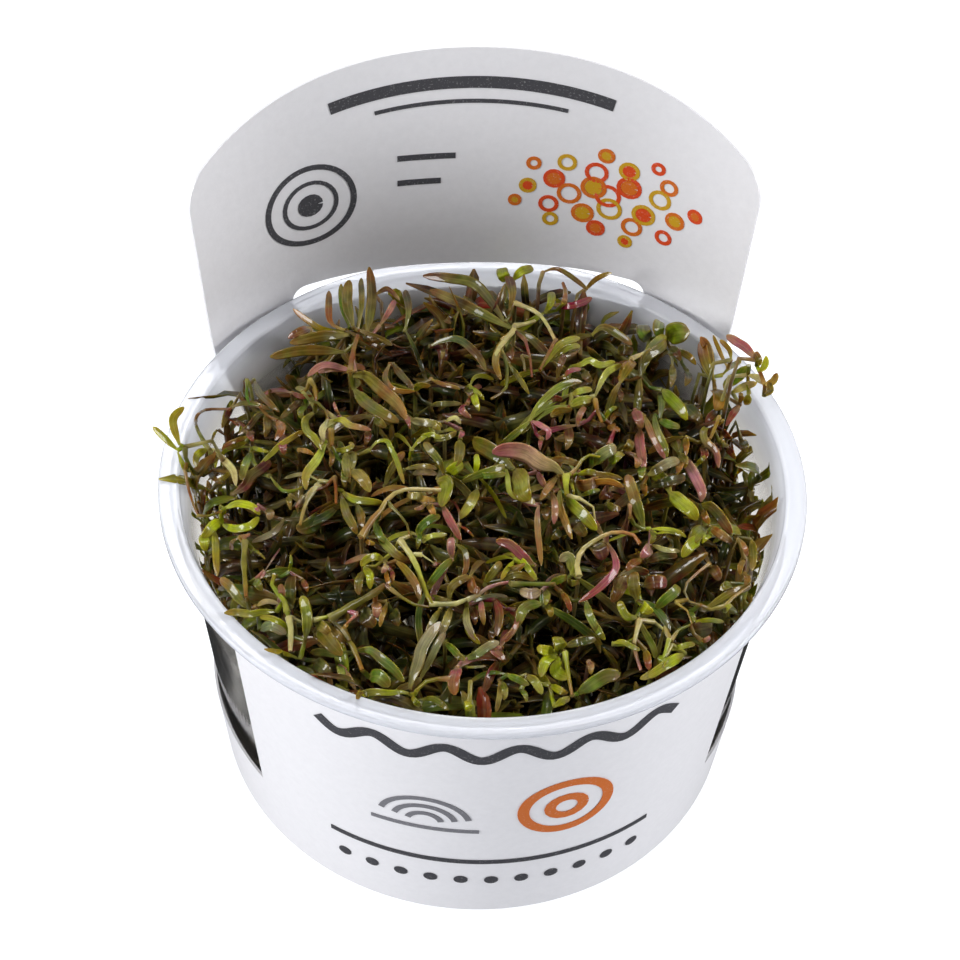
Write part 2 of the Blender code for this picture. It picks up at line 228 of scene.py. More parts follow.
# %% [markdown]
# The cup is vacuum-formed clear plastic. It is a turned shape, so one outline
# spun round the axis makes it. Near the rim the wall has two small steps, by
# which stacked cups part. They catch the light as thin rings, and so does the
# rounded edge of the flange. The plastic turns milky where it was stretched
# least, at the rim, so it loses its transmission with height there. Below it
# the wall is tinted darker and warmer: painted shade.

# %% Outline of the cup
ROUND_STEPS = 240


def arc(centre, radius, first, last, count):
    """Points on an arc, as (radius, height) pairs, angles in degrees."""
    turns = [math.radians(first + (last - first) * i / (count - 1)) for i in range(count)]
    return [(centre[0] + radius * math.cos(t), centre[1] + radius * math.sin(t)) for t in turns]


def cup_outline():
    rim, under = CUP_HEIGHT, CUP_HEIGHT - FLANGE
    edge = 0.32 * MM
    heel = 1.2 * MM
    outline = [(0.0, FLOOR), (24.0 * MM, FLOOR + 0.05 * MM)]
    outline += arc((inner_wall(heel) - heel, FLOOR + heel), heel, -90, 0, 7)
    for step_height, inward in ((4.6 * MM, 0.0), (2.9 * MM, 0.22 * MM), (1.5 * MM, 0.42 * MM)):
        level = rim - step_height
        outline += [
            (inner_wall(level) - 0.22 * MM + inward, level - 0.12 * MM),
            (inner_wall(level) + inward - 0.06 * MM, level + 0.10 * MM),
        ]
    outline += arc((inner_wall(rim) + 0.95 * MM, rim - 0.5 * MM), 0.5 * MM, 180, 90, 7)
    outline += [(inner_wall(rim) + 1.5 * MM, rim - 0.06 * MM), (RIM_RADIUS - 0.9 * MM, rim - 0.06 * MM)]
    outline += arc((RIM_RADIUS - edge, rim - edge), edge, 90, 0, 7)
    outline += [(RIM_RADIUS, rim - LIP_DROP + 0.15 * MM), (RIM_RADIUS - 0.15 * MM, rim - LIP_DROP)]
    outline += [(RIM_RADIUS - FLANGE + 0.1 * MM, rim - LIP_DROP), (RIM_RADIUS - FLANGE, under)]
    outline += [(outer_wall(under) + 0.25 * MM, under), (outer_wall(under), under - 0.25 * MM)]
    outline += arc((outer_wall(heel) - heel, heel), heel, 0, -90, 7)
    outline += [(0.0, 0.0)]
    return outline


def turned_mesh(name, outline, steps=ROUND_STEPS):
    """A closed mesh from an outline of (radius, height) pairs that starts and ends on the axis."""
    shape = bmesh.new()
    ring = [shape.verts.new((radius, 0.0, height)) for radius, height in outline]
    edges = [shape.edges.new(pair) for pair in zip(ring, ring[1:])]
    bmesh.ops.spin(
        shape,
        geom=ring + edges,
        axis=(0, 0, 1),
        cent=(0, 0, 0),
        angle=math.tau,
        steps=steps,
        use_merge=True,
    )
    bmesh.ops.remove_doubles(shape, verts=shape.verts, dist=1e-6)
    bmesh.ops.recalc_face_normals(shape, faces=shape.faces)
    mesh = bpy.data.meshes.new(name)
    shape.to_mesh(mesh)
    shape.free()
    mesh.shade_smooth()
    mesh.set_sharp_from_angle(angle=math.radians(50))
    return mesh


# %% Finish of the clear plastic
plastic, plastic_tree, plastic_shader = start_material(
    "clear plastic",
    Base_Color=(0.9, 0.905, 0.935, 1.0),
    Roughness=0.04,
    IOR=1.28,
    Transmission_Weight=1.0,
)
scuffs = object_noise(plastic_tree, 700.0, 4.0, 0.6)
scuff_range = add_node(
    plastic_tree,
    "ShaderNodeMapRange",
    {"Value": scuffs.outputs["Fac"], "From Min": 0.35, "From Max": 0.8, "To Min": 0.02, "To Max": 0.12},
)
plastic_tree.links.new(scuff_range.outputs["Result"], plastic_shader.inputs["Roughness"])
plastic_place = add_node(plastic_tree, "ShaderNodeTexCoord")
plastic_parts = add_node(plastic_tree, "ShaderNodeSeparateXYZ", {"Vector": plastic_place.outputs["Object"]})
MILKY_FROM, MILKY_FULL = 14.0 * MM, 1.0 * MM
clearness = add_node(
    plastic_tree,
    "ShaderNodeMapRange",
    {
        "Value": plastic_parts.outputs["Z"],
        "From Min": CUP_HEIGHT - MILKY_FROM,
        "From Max": CUP_HEIGHT - MILKY_FULL,
        "To Min": 1.0,
        "To Max": 0.5,
    },
)
plastic_tree.links.new(clearness.outputs["Result"], plastic_shader.inputs["Transmission Weight"])
# Below the rim the wall's colour turns darker and warmer: painted shade of the wall.
CUP_SHADE_FULL_BELOW, CUP_SHADE_GONE_BELOW = 6.0 * MM, 1.0 * MM
unshaded_share = add_node(
    plastic_tree,
    "ShaderNodeMapRange",
    {
        "Value": plastic_parts.outputs["Z"],
        "From Min": CUP_HEIGHT - CUP_SHADE_FULL_BELOW,
        "From Max": CUP_HEIGHT - CUP_SHADE_GONE_BELOW,
        "To Min": 0.0,
        "To Max": 1.0,
    },
)
plastic_painted_shade = add_node(plastic_tree, "ShaderNodeMix", {"Factor": unshaded_share.outputs["Result"]}, data_type="RGBA")
plastic_painted_shade.inputs["A"].default_value = (0.7, 0.675, 0.63, 1.0)
plastic_painted_shade.inputs["B"].default_value = (0.87, 0.885, 0.935, 1.0)
plastic_tree.links.new(plastic_painted_shade.outputs["Result"], plastic_shader.inputs["Base Color"])
cup_ripple = object_noise(plastic_tree, 120.0, 2.0)
bumped(plastic_tree, plastic_shader, cup_ripple.outputs["Fac"], 0.15, 0.0003)

cup = add_piece("cup", turned_mesh("cup", cup_outline()), plastic, ["cup"])
print("cup faces:", len(cup.data.polygons))

# %% [markdown]
# The wrap is one sheet of coated paper. Its outline is laid out in columns
# round the axis, and a Solidify modifier gives it the paper's thickness. It
# hugs the wall, and behind the rim it leaves the wall and rises as a header.

# %% Shape of the wrap
WRAP_GAP = CLEARANCE + PAPER / 2


def wrap_radius(back_angle, height):
    """Middle of the paper. It swells past the flange on both sides of the slot."""
    hug = outer_wall(height) + WRAP_GAP
    if abs(back_angle) > BULGE_ANGLE:
        return hug
    swell = BULGE * (1 - math.cos(math.pi * back_angle / BULGE_ANGLE)) / 2
    leave = min(1.0, max(0.0, (height - CUP_HEIGHT + BULGE_START) / BULGE_START))
    return hug + swell * leave * leave * (3 - 2 * leave)


def wrap_point(back_angle, height, lift=0.0):
    radius = wrap_radius(back_angle, height) + lift
    return Vector((-radius * math.sin(back_angle), radius * math.cos(back_angle), height))


def header_top(back_angle):
    reach = wrap_radius(back_angle, CUP_HEIGHT) * abs(back_angle)
    side = wrap_radius(HEADER_HALF_ANGLE, CUP_HEIGHT) * HEADER_HALF_ANGLE
    arch = HEADER_RISE - HEADER_ARC + math.sqrt(HEADER_ARC**2 - reach**2)
    into = max(0.0, reach - (side - SHOULDER)) / SHOULDER
    return CUP_HEIGHT + arch - SHOULDER * (1 - math.sqrt(max(0.0, 1 - into * into)))


def slot_edges(back_angle):
    middle = CUP_HEIGHT + (SLOT_LOW + SLOT_HIGH) / 2
    half = (SLOT_HIGH - SLOT_LOW) / 2
    end_angle = half / RIM_RADIUS
    into = max(0.0, abs(back_angle) - (SLOT_HALF_ANGLE - end_angle)) / end_angle
    half *= math.sqrt(max(0.0, 1 - into * into))
    return middle - half, middle + half


def eased(first, last, count):
    """Steps from first to last that crowd towards last, for the round end of an edge."""
    return [first + (last - first) * math.sin(math.pi / 2 * i / (count - 1)) for i in range(count)]


def even(first, last, count):
    return [first + (last - first) * i / (count - 1) for i in range(count)]


# %% The wrap's sheet
def wrap_columns():
    """Angles of the columns from the back: the back panel, a window, the front panel, a window."""
    slot_end = SLOT_HALF_ANGLE - (SLOT_HIGH - SLOT_LOW) / 2 / RIM_RADIUS
    side_angle = SHOULDER / wrap_radius(HEADER_HALF_ANGLE, CUP_HEIGHT)
    half_back = even(0.0, slot_end, 25)
    half_back += eased(slot_end, SLOT_HALF_ANGLE, 8)[1:]
    half_back += even(SLOT_HALF_ANGLE, HEADER_HALF_ANGLE - side_angle, 12)[1:]
    half_back += eased(HEADER_HALF_ANGLE - side_angle, HEADER_HALF_ANGLE, 9)[1:]
    back = [-angle for angle in reversed(half_back[1:])] + half_back
    window = even(HEADER_HALF_ANGLE, math.pi - FRONT_HALF_ANGLE, 40)[1:-1]
    front = even(math.pi - FRONT_HALF_ANGLE, math.pi + FRONT_HALF_ANGLE, 61)
    return back, window, front


def wrap_mesh():
    back, window, front = wrap_columns()
    columns = back + window + front + [math.tau - angle for angle in reversed(window)]
    sheet = bmesh.new()

    def column(angle, heights):
        turned = angle if angle <= math.pi else angle - math.tau
        return [sheet.verts.new(wrap_point(turned, height)) for height in heights]

    def strip(left, right):
        for i in range(len(left) - 1):
            sheet.faces.new((left[i], right[i], right[i + 1], left[i + 1]))

    bands = [column(angle, even(WRAP_LOW, BAND_TOP, 5)) for angle in columns]
    for i, band in enumerate(bands):
        strip(band, bands[(i + 1) % len(bands)])

    first_front = len(back) + len(window)
    front_rows = even(BAND_TOP, FRONT_TOP, 12)[1:]
    panels = [[bands[first_front + i][-1]] + column(angle, front_rows) for i, angle in enumerate(front)]
    for left, right in zip(panels, panels[1:]):
        strip(left, right)

    lows, highs = [], []
    for i, angle in enumerate(back):
        low, high = slot_edges(angle)
        rows = even(BAND_TOP, CUP_HEIGHT - BULGE_START, 8) + even(CUP_HEIGHT - BULGE_START, low, 9)[1:]
        lows.append([bands[i][-1]] + column(angle, rows[1:]))
        upper = even(high, header_top(angle), 14)
        closed = abs(angle) >= SLOT_HALF_ANGLE - 1e-9
        highs.append([lows[-1][-1]] + column(angle, upper[1:]) if closed else column(angle, upper))
    for rows in (lows, highs):
        for left, right in zip(rows, rows[1:]):
            strip(left, right)

    bmesh.ops.recalc_face_normals(sheet, faces=sheet.faces)
    mesh = bpy.data.meshes.new("label")
    sheet.to_mesh(mesh)
    sheet.free()
    mesh.shade_smooth()
    return mesh


def thickened(mesh, thickness):
    """The sheet as a closed body of this thickness, its edges kept sharp."""
    thing = bpy.data.objects.new("sheet", mesh)
    bpy.context.scene.collection.objects.link(thing)
    solid = thing.modifiers.new("paper", "SOLIDIFY")
    solid.thickness = thickness
    solid.offset = 0.0
    solid.use_even_offset = True
    evaluated = thing.evaluated_get(bpy.context.evaluated_depsgraph_get())
    result = bpy.data.meshes.new_from_object(evaluated)
    bpy.data.objects.remove(thing)
    result.set_sharp_from_angle(angle=math.radians(50))
    return result


# %% Finish of the coated paper
paper, paper_tree, paper_shader = start_material(
    "coated paper",
    Base_Color=(0.86, 0.865, 0.885, 1.0),
    Roughness=0.38,
    Specular_IOR_Level=0.4,
    Coat_Weight=0.15,
    Coat_Roughness=0.2,
)
fibres = object_noise(paper_tree, 900.0, 6.0, 0.65)
fibre_tint = add_node(
    paper_tree,
    "ShaderNodeMapRange",
    {"Value": fibres.outputs["Fac"], "From Min": 0.3, "From Max": 0.7, "To Min": 0.0, "To Max": 1.0},
)
paper_colour = add_node(
    paper_tree,
    "ShaderNodeMix",
    {"Factor": fibre_tint.outputs["Result"]},
    data_type="RGBA",
)
paper_colour.inputs["A"].default_value = (0.78, 0.775, 0.805, 1.0)
paper_colour.inputs["B"].default_value = (0.82, 0.815, 0.845, 1.0)
paper_tree.links.new(paper_colour.outputs["Result"], paper_shader.inputs["Base Color"])
paper_waves = object_noise(paper_tree, 45.0, 2.0)
paper_height = add_node(
    paper_tree,
    "ShaderNodeMath",
    {0: paper_waves.outputs["Fac"], 1: fibres.outputs["Fac"]},
    operation="ADD",
)
bumped(paper_tree, paper_shader, paper_height.outputs["Value"], 0.12, 0.0002)

label = add_piece("label", thickened(wrap_mesh(), PAPER), paper, ["label"])
print("label faces:", len(label.data.polygons))

# %% [markdown]
# The paper is printed in orange and dark grey. The print here is a plain one:
# a drift of bubbles, rings, waves and rules. Each stroke is a thin raised ribbon
# of ink that follows the paper, so it bends with the sheet in every view.

# %% Strokes of ink on the paper
INK_GAP = 0.03 * MM
INK_THICK = 0.05 * MM
INK_STEP = 0.8 * MM
INKS = {"grey": "46464b", "soft_grey": "77777d", "orange": "cf6a1c", "flame": "d4481c", "leaf_yellow": "c79a1e"}


class Ink:
    """Gathers ribbons. Each has a centre line of (across, height) points on the flattened paper."""

    def __init__(self, middle_angle, side):
        self.middle_angle, self.side = middle_angle, side
        self.shape = bmesh.new()
        self.tone = self.shape.verts.layers.float_color.new("tone")

    def on_paper(self, across, height, lift):
        turned = self.middle_angle + self.side * across / wrap_radius(self.middle_angle, height)
        offset = self.side * (PAPER / 2 + lift)
        return self.shape.verts.new(wrap_point(turned, height, offset))

    def stroke(self, line, half_widths, ink):
        """A ribbon through the points, with a half width at each."""
        colour = (*linear(INKS[ink]), 1.0)
        rings = []
        for i, (across, height) in enumerate(line):
            before, after = line[max(i - 1, 0)], line[min(i + 1, len(line) - 1)]
            ahead = Vector((after[0] - before[0], after[1] - before[1])).normalized()
            over, up = -ahead.y * half_widths[i], ahead.x * half_widths[i]
            ring = []
            for sign, lift in ((1, 0.0), (-1, 0.0), (-1, INK_THICK), (1, INK_THICK)):
                ring.append(self.on_paper(across + sign * over, height + sign * up, INK_GAP + lift))
            for corner in ring:
                corner[self.tone] = colour
            rings.append(ring)
        for first, second in zip(rings, rings[1:]):
            for i in range(4):
                j = (i + 1) % 4
                self.shape.faces.new((first[i], first[j], second[j], second[i]))
        self.shape.faces.new(rings[0][::-1])
        self.shape.faces.new(rings[-1])

    def line(self, points, half_width, ink):
        """A stroke of one width, its points spaced so that it follows the curved paper."""
        dense = [points[0]]
        for start, end in zip(points, points[1:]):
            steps = max(1, round(math.dist(start, end) / INK_STEP))
            for i in range(1, steps + 1):
                share = i / steps
                dense.append((start[0] + (end[0] - start[0]) * share, start[1] + (end[1] - start[1]) * share))
        self.stroke(dense, [half_width] * len(dense), ink)

    def ring(self, across, height, radius, half_width, ink, first=0.0, last=math.tau):
        turns = even(first, last, max(17, round(radius * (last - first) / INK_STEP)))
        points = [(across + radius * math.cos(t), height + radius * math.sin(t)) for t in turns]
        self.stroke(points, [half_width] * len(points), ink)

    def mesh(self, name):
        bmesh.ops.recalc_face_normals(self.shape, faces=self.shape.faces)
        mesh = bpy.data.meshes.new(name)
        self.shape.to_mesh(mesh)
        self.shape.free()
        return mesh


# %% The motifs
def draw_bubbles(ink, across, height, reach, count):
    """A drift of bubbles: rings laid on a golden spiral, smaller outwards, in warm inks."""
    warm = ("flame", "orange", "leaf_yellow")
    for i in range(count):
        away, around = reach * math.sqrt(i / count), i * math.pi * (3 - math.sqrt(5))
        radius = (1.55 - 0.9 * i / count) * MM
        x, y = across + 1.35 * away * math.cos(around), height + 0.75 * away * math.sin(around)
        ink.ring(x, y, radius, 0.28 * MM, warm[i % 3])
        if i % 2:
            ink.ring(x, y, 0.4 * radius, 0.38 * radius, warm[(i + 1) % 3])


def draw_header():
    ink = Ink(0.0, -1)
    base = CUP_HEIGHT
    draw_bubbles(ink, 19 * MM, base + 14 * MM, 10 * MM, 26)
    arch = [(across * MM, base + (30.5 - 0.0058 * across**2) * MM) for across in range(-19, 20)]
    ink.stroke(arch, [0.9 * MM] * len(arch), "grey")
    under = [(across * MM, base + (27.6 - 0.0058 * across**2) * MM) for across in range(-13, 14)]
    ink.stroke(under, [0.3 * MM] * len(under), "grey")
    ink.ring(-22 * MM, base + 14 * MM, 6.0 * MM, 0.4 * MM, "grey")
    ink.ring(-22 * MM, base + 14 * MM, 3.6 * MM, 0.3 * MM, "grey")
    ink.ring(-22 * MM, base + 14 * MM, 0.9 * MM, 0.85 * MM, "grey")
    for row, reach in enumerate((8.0, 6.0)):
        level = base + (19 - 4 * row) * MM
        ink.line([(-10 * MM, level), ((reach - 10) * MM, level)], 0.45 * MM, "grey")
    return ink.mesh("header_print")


def draw_front():
    ink = Ink(math.pi, 1)
    wave = [(across * 0.5 * MM, 41.5 * MM + 1.3 * MM * math.sin(across * 0.35)) for across in range(-46, 47)]
    ink.stroke(wave, [0.85 * MM] * len(wave), "grey")
    ink.ring(9 * MM, 27 * MM, 5.6 * MM, 0.75 * MM, "orange")
    ink.ring(9 * MM, 27 * MM, 2.2 * MM, 0.75 * MM, "orange")
    for radius in (2.2, 4.0, 5.8):
        ink.ring(-9 * MM, 24 * MM, radius * MM, 0.4 * MM, "soft_grey", 0.25, math.pi - 0.25)
    ink.line([(-16 * MM, 22.6 * MM), (-2 * MM, 22.6 * MM)], 0.4 * MM, "soft_grey")
    ink.line([(-22 * MM, 14.5 * MM), (22 * MM, 14.5 * MM)], 0.5 * MM, "grey")
    for across in range(-20, 21, 4):
        ink.ring(across * MM, 9.5 * MM, 0.5 * MM, 0.45 * MM, "grey")
    return ink.mesh("front_print")


ink_finish, ink_tree, ink_shader = start_material("printing ink", Roughness=0.45, Specular_IOR_Level=0.4)
ink_tone = add_node(ink_tree, "ShaderNodeAttribute", attribute_name="tone")
ink_grain = object_noise(ink_tree, 4000.0, 2.0)
ink_cover = add_node(
    ink_tree,
    "ShaderNodeMapRange",
    {"Value": ink_grain.outputs["Fac"], "From Min": 0.6, "From Max": 0.8, "To Min": 0.0, "To Max": 0.35},
)
ink_colour = add_node(ink_tree, "ShaderNodeMix", {"Factor": ink_cover.outputs["Result"]}, data_type="RGBA")
ink_tree.links.new(ink_tone.outputs["Color"], ink_colour.inputs["A"])
ink_colour.inputs["B"].default_value = (0.8, 0.8, 0.82, 1.0)
ink_tree.links.new(ink_colour.outputs["Result"], ink_shader.inputs["Base Color"])
for print_mesh in (draw_header(), draw_front()):
    add_piece(print_mesh.name, print_mesh, ink_finish, [])
    print(print_mesh.name, len(print_mesh.polygons), "faces")

# %% [markdown]
# The nutrient gel is a clear, slightly yellow disc on the cup's floor. It is
# also turned, with a soft upper edge that climbs the wall a little.

# %% The nutrient gel
def gel_outline():
    low, heel = FLOOR + CLEARANCE, 1.2 * MM
    climb = 0.7 * MM
    side = inner_wall(GEL_TOP) - CLEARANCE
    outline = [(0.0, GEL_TOP - climb), (side - 3 * climb, GEL_TOP - climb)]
    outline += [(side - climb, GEL_TOP - 0.6 * climb), (side, GEL_TOP)]
    outline += arc((inner_wall(low + heel) - CLEARANCE - heel, low + heel), heel, 0, -90, 6)
    return outline + [(0.0, low)]


gel_finish, gel_tree, gel_shader = start_material(
    "nutrient gel",
    Base_Color=(0.86, 0.82, 0.68, 1.0),
    Roughness=0.12,
    IOR=1.34,
    Transmission_Weight=0.85,
)
gel_cloud = object_noise(gel_tree, 260.0, 3.0)
gel_rough = add_node(
    gel_tree,
    "ShaderNodeMapRange",
    {"Value": gel_cloud.outputs["Fac"], "From Min": 0.3, "From Max": 0.7, "To Min": 0.08, "To Max": 0.25},
)
gel_tree.links.new(gel_rough.outputs["Result"], gel_shader.inputs["Roughness"])
bumped(gel_tree, gel_shader, gel_cloud.outputs["Fac"], 0.3, 0.0004)
gel = add_piece("culture_gel", turned_mesh("culture_gel", gel_outline(), 96), gel_finish, ["culture_gel"])

# %% [markdown]
# Leaves and stems are swept along guide lines by Geometry Nodes. A guide is a
# few points that carry a half width, the way the leaf's face looks, and a tone.
# One tree has three branches: leaves laid one by one, stems, and stems that
# carry pairs of leaves all along. Along and across are kept for the finish.

# %% Helpers for trees of geometry nodes
LEAF, STEM, LEAFY_STEM, ROOT = 0, 1, 2, 3
SOCKETS = {"int": "NodeSocketInt", "float": "NodeSocketFloat"}
SOCKETS.update({"material": "NodeSocketMaterial", "collection": "NodeSocketCollection"})


def start_tree(name, inputs):
    """A geometry tree, its input sockets and its output socket. Inputs are (name, kind, value)."""
    tree = bpy.data.node_groups.new(name, "GeometryNodeTree")
    tree.interface.new_socket("Geometry", in_out="INPUT", socket_type="NodeSocketGeometry")
    tree.interface.new_socket("Geometry", in_out="OUTPUT", socket_type="NodeSocketGeometry")
    for title, kind, value in inputs:
        socket = tree.interface.new_socket(title, in_out="INPUT", socket_type=SOCKETS[kind])
        if value is not None:
            socket.default_value = value
    given = tree.nodes.new("NodeGroupInput")
    result = tree.nodes.new("NodeGroupOutput")
    return tree, given.outputs, result.inputs


def math_node(tree, operation, first, second=0.0, third=None):
    values = {0: first, 1: second}
    if third is not None:
        values[2] = third
    return add_node(tree, "ShaderNodeMath", values, operation=operation).outputs["Value"]


def read_attribute(tree, name, kind="FLOAT"):
    reader = add_node(tree, "GeometryNodeInputNamedAttribute", {"Name": name}, data_type=kind)
    return reader.outputs["Attribute"]


def store_attribute(tree, geometry, name, value, kind="FLOAT", domain="POINT"):
    kept = add_node(
        tree,
        "GeometryNodeStoreNamedAttribute",
        {"Geometry": geometry, "Name": name, "Value": value},
        data_type=kind,
        domain=domain,
    )
    return kept.outputs["Geometry"]


def ranged(tree, value, low, high, to_low, to_high):
    """The value carried from one range to another."""
    made = add_node(
        tree,
        "ShaderNodeMapRange",
        {"Value": value, "From Min": low, "From Max": high, "To Min": to_low, "To Max": to_high},
    )
    return made.outputs["Result"]


def random_between(tree, low, high, seed):
    made = add_node(tree, "FunctionNodeRandomValue", {"Seed": seed}, data_type="FLOAT")
    made.inputs[2].default_value = low
    made.inputs[3].default_value = high
    return made.outputs[1]


def curve_node(tree, value, points):
    """A curve through the given (place, height) points."""
    made = add_node(tree, "ShaderNodeFloatCurve", {"Value": value})
    line = made.mapping.curves[0]
    line.points[0].location = points[0]
    line.points[1].location = points[-1]
    for point in points[1:-1]:
        line.points.new(*point)
    made.mapping.update()
    return made.outputs["Value"]


def kind_only(tree, geometry, kind):
    """Only the guide lines of one kind."""
    wanted = add_node(
        tree,
        "FunctionNodeCompare",
        {2: read_attribute(tree, "kind", "INT"), 3: kind},
        data_type="INT",
        operation="EQUAL",
    )
    return add_node(
        tree,
        "GeometryNodeSeparateGeometry",
        {"Geometry": geometry, "Selection": wanted.outputs["Result"]},
        domain="POINT",
    ).outputs["Selection"]


def smooth_lines(tree, geometry, **resample):
    line = add_node(tree, "GeometryNodeMeshToCurve", {"Mesh": geometry})
    rounded = add_node(
        tree, "GeometryNodeCurveSplineType", {"Curve": line.outputs["Curve"]}, spline_type="CATMULL_ROM"
    )
    mode = "COUNT" if "Count" in resample else "LENGTH"
    even_line = add_node(
        tree, "GeometryNodeResampleCurve", {"Curve": rounded.outputs["Curve"], **resample}, mode=mode
    )
    return even_line.outputs["Curve"]


def ruffle(tree, geometry, scale, amount):
    """Small uneven swellings, as living tissue has."""
    noise = add_node(tree, "ShaderNodeTexNoise", {"Scale": scale, "Detail": 2.0})
    offset = add_node(
        tree, "ShaderNodeVectorMath", {0: noise.outputs["Color"], 1: (0.5, 0.5, 0.5)}, operation="SUBTRACT"
    )
    scaled = add_node(
        tree, "ShaderNodeVectorMath", {0: offset.outputs["Vector"], "Scale": amount}, operation="SCALE"
    )
    moved = add_node(
        tree, "GeometryNodeSetPosition", {"Geometry": geometry, "Offset": scaled.outputs["Vector"]}
    )
    return moved.outputs["Geometry"]


def run_tree(tree, source, values, name):
    """The source mesh put through the tree, as a plain mesh."""
    thing = bpy.data.objects.new(name + "_guide", source)
    bpy.context.scene.collection.objects.link(thing)
    modifier = thing.modifiers.new("nodes", "NODES")
    modifier.node_group = tree
    for item in tree.interface.items_tree:
        if item.item_type == "SOCKET" and item.in_out == "INPUT" and item.name in values:
            modifier[item.identifier] = values[item.name]
    thing.update_tag()
    evaluated = thing.evaluated_get(bpy.context.evaluated_depsgraph_get())
    mesh = bpy.data.meshes.new_from_object(evaluated)
    thing.modifiers.clear()
    bpy.data.objects.remove(thing)
    mesh.name = name
    return mesh


# %% The branch for single leaves
STRAP_SHAPE = [(0.0, 0.34), (0.15, 0.56), (0.38, 0.9), (0.58, 1.0), (0.8, 0.93), (0.93, 0.66), (1.0, 0.2)]
ROUND_SHAPE = [(0.0, 0.22), (0.12, 0.48), (0.32, 0.92), (0.55, 1.0), (0.78, 0.93), (0.93, 0.66), (1.0, 0.2)]


def leaf_section(tree, sides, thickness, fold):
    """A closed lens across the leaf, its edges lifted so that the midrib lies in a channel."""
    circle = add_node(tree, "GeometryNodeCurvePrimitiveCircle", {"Resolution": sides, "Radius": 1.0})
    place = add_node(tree, "GeometryNodeInputPosition")
    parts = add_node(tree, "ShaderNodeSeparateXYZ", {"Vector": place.outputs["Position"]})
    across = parts.outputs["Y"]
    kept = store_attribute(tree, circle.outputs["Curve"], "across", across)
    lifted = math_node(tree, "MULTIPLY", math_node(tree, "ABSOLUTE", across), fold)
    depth = math_node(tree, "MULTIPLY_ADD", parts.outputs["X"], thickness, lifted)
    moved = add_node(tree, "ShaderNodeCombineXYZ", {"X": depth, "Y": across})
    section = add_node(
        tree, "GeometryNodeSetPosition", {"Geometry": kept, "Position": moved.outputs["Vector"]}
    )
    return section.outputs["Geometry"]


def leaf_branch(tree, guides, given):
    lines = smooth_lines(tree, guides, Count=given["Rings"])
    along = add_node(tree, "GeometryNodeSplineParameter").outputs["Factor"]
    kept = store_attribute(tree, lines, "along", along)
    strap, oval = curve_node(tree, along, STRAP_SHAPE), curve_node(tree, along, ROUND_SHAPE)
    shape = add_node(
        tree, "ShaderNodeMix", {"Factor": read_attribute(tree, "roundness"), "A": strap, "B": oval}
    )
    half_width = math_node(tree, "MULTIPLY", read_attribute(tree, "half_width"), shape.outputs["Result"])
    facing = add_node(
        tree,
        "GeometryNodeSetCurveNormal",
        {"Curve": kept, "Normal": read_attribute(tree, "face", "FLOAT_VECTOR")},
        mode="FREE",
    )
    blades = add_node(
        tree,
        "GeometryNodeCurveToMesh",
        {
            "Curve": facing.outputs["Curve"],
            "Profile Curve": leaf_section(tree, given["Sides"], given["Thickness"], given["Fold"]),
            "Scale": half_width,
            "Fill Caps": True,
        },
    )
    return blades.outputs["Mesh"]


# %% The branch for stems
STEM_SIDES = 6
NODE_SPACING = 3.2 * MM


def stem_branch(tree, guides, step):
    """Round stems that swell a little where each pair of leaves stands."""
    lines = smooth_lines(tree, guides, Length=step)
    parameter = add_node(tree, "GeometryNodeSplineParameter")
    kept = store_attribute(tree, lines, "along", parameter.outputs["Factor"])
    spaces = math_node(tree, "DIVIDE", parameter.outputs["Length"], NODE_SPACING)
    from_middle = math_node(tree, "ABSOLUTE", math_node(tree, "SUBTRACT", math_node(tree, "FRACT", spaces), 0.5))
    near_node = math_node(tree, "POWER", math_node(tree, "MULTIPLY", from_middle, 2.0), 5.0)
    swelling = math_node(tree, "MULTIPLY_ADD", near_node, 0.28, 0.92)
    radius = math_node(tree, "MULTIPLY", read_attribute(tree, "half_width"), swelling)
    circle = add_node(tree, "GeometryNodeCurvePrimitiveCircle", {"Resolution": STEM_SIDES, "Radius": 1.0})
    section = store_attribute(tree, circle.outputs["Curve"], "across", 0.4)
    tubes = add_node(
        tree,
        "GeometryNodeCurveToMesh",
        {"Curve": kept, "Profile Curve": section, "Scale": radius, "Fill Caps": True},
    )
    return tubes.outputs["Mesh"]


# %% The branch for stems in full leaf
# The leaves on leafy stems get painted shade that deepens down into the mat, and painted light on those near the clear
# wall.
SHADE_FROM = 32.0 * MM
PAINTED_DEPTH_SHADE = (0.04, 0.36)
LIT_WALL = (33.5 * MM, 36.0 * MM)
PAINTED_WALL_LIGHT = (0.0, 1.6)
# Stops from near black to deep brown: partly the leaves' own colours, partly painted shade of leaves deep in the mat.
FOLIAGE_AND_SHADE_TONES = [
    (0.0, "1a0e06"),
    (0.14, "2e1c09"),
    (0.3, "30360a"),
    (0.45, "4a5c10"),
    (0.6, "6c7a1a"),
    (0.74, "5e4214"),
    (0.84, "6e2e12"),
    (0.93, "78241c"),
    (1.0, "904640"),
]


def foliage_tone(tree, value):
    ramp = add_node(tree, "ShaderNodeValToRGB", {"Fac": value})
    stops = ramp.color_ramp.elements
    for place, code in FOLIAGE_AND_SHADE_TONES[1:-1]:
        stops.new(place)
    for stop, (place, code) in zip(stops, FOLIAGE_AND_SHADE_TONES):
        stop.position = place
        stop.color = (*linear(code), 1.0)
    return ramp.outputs["Color"]


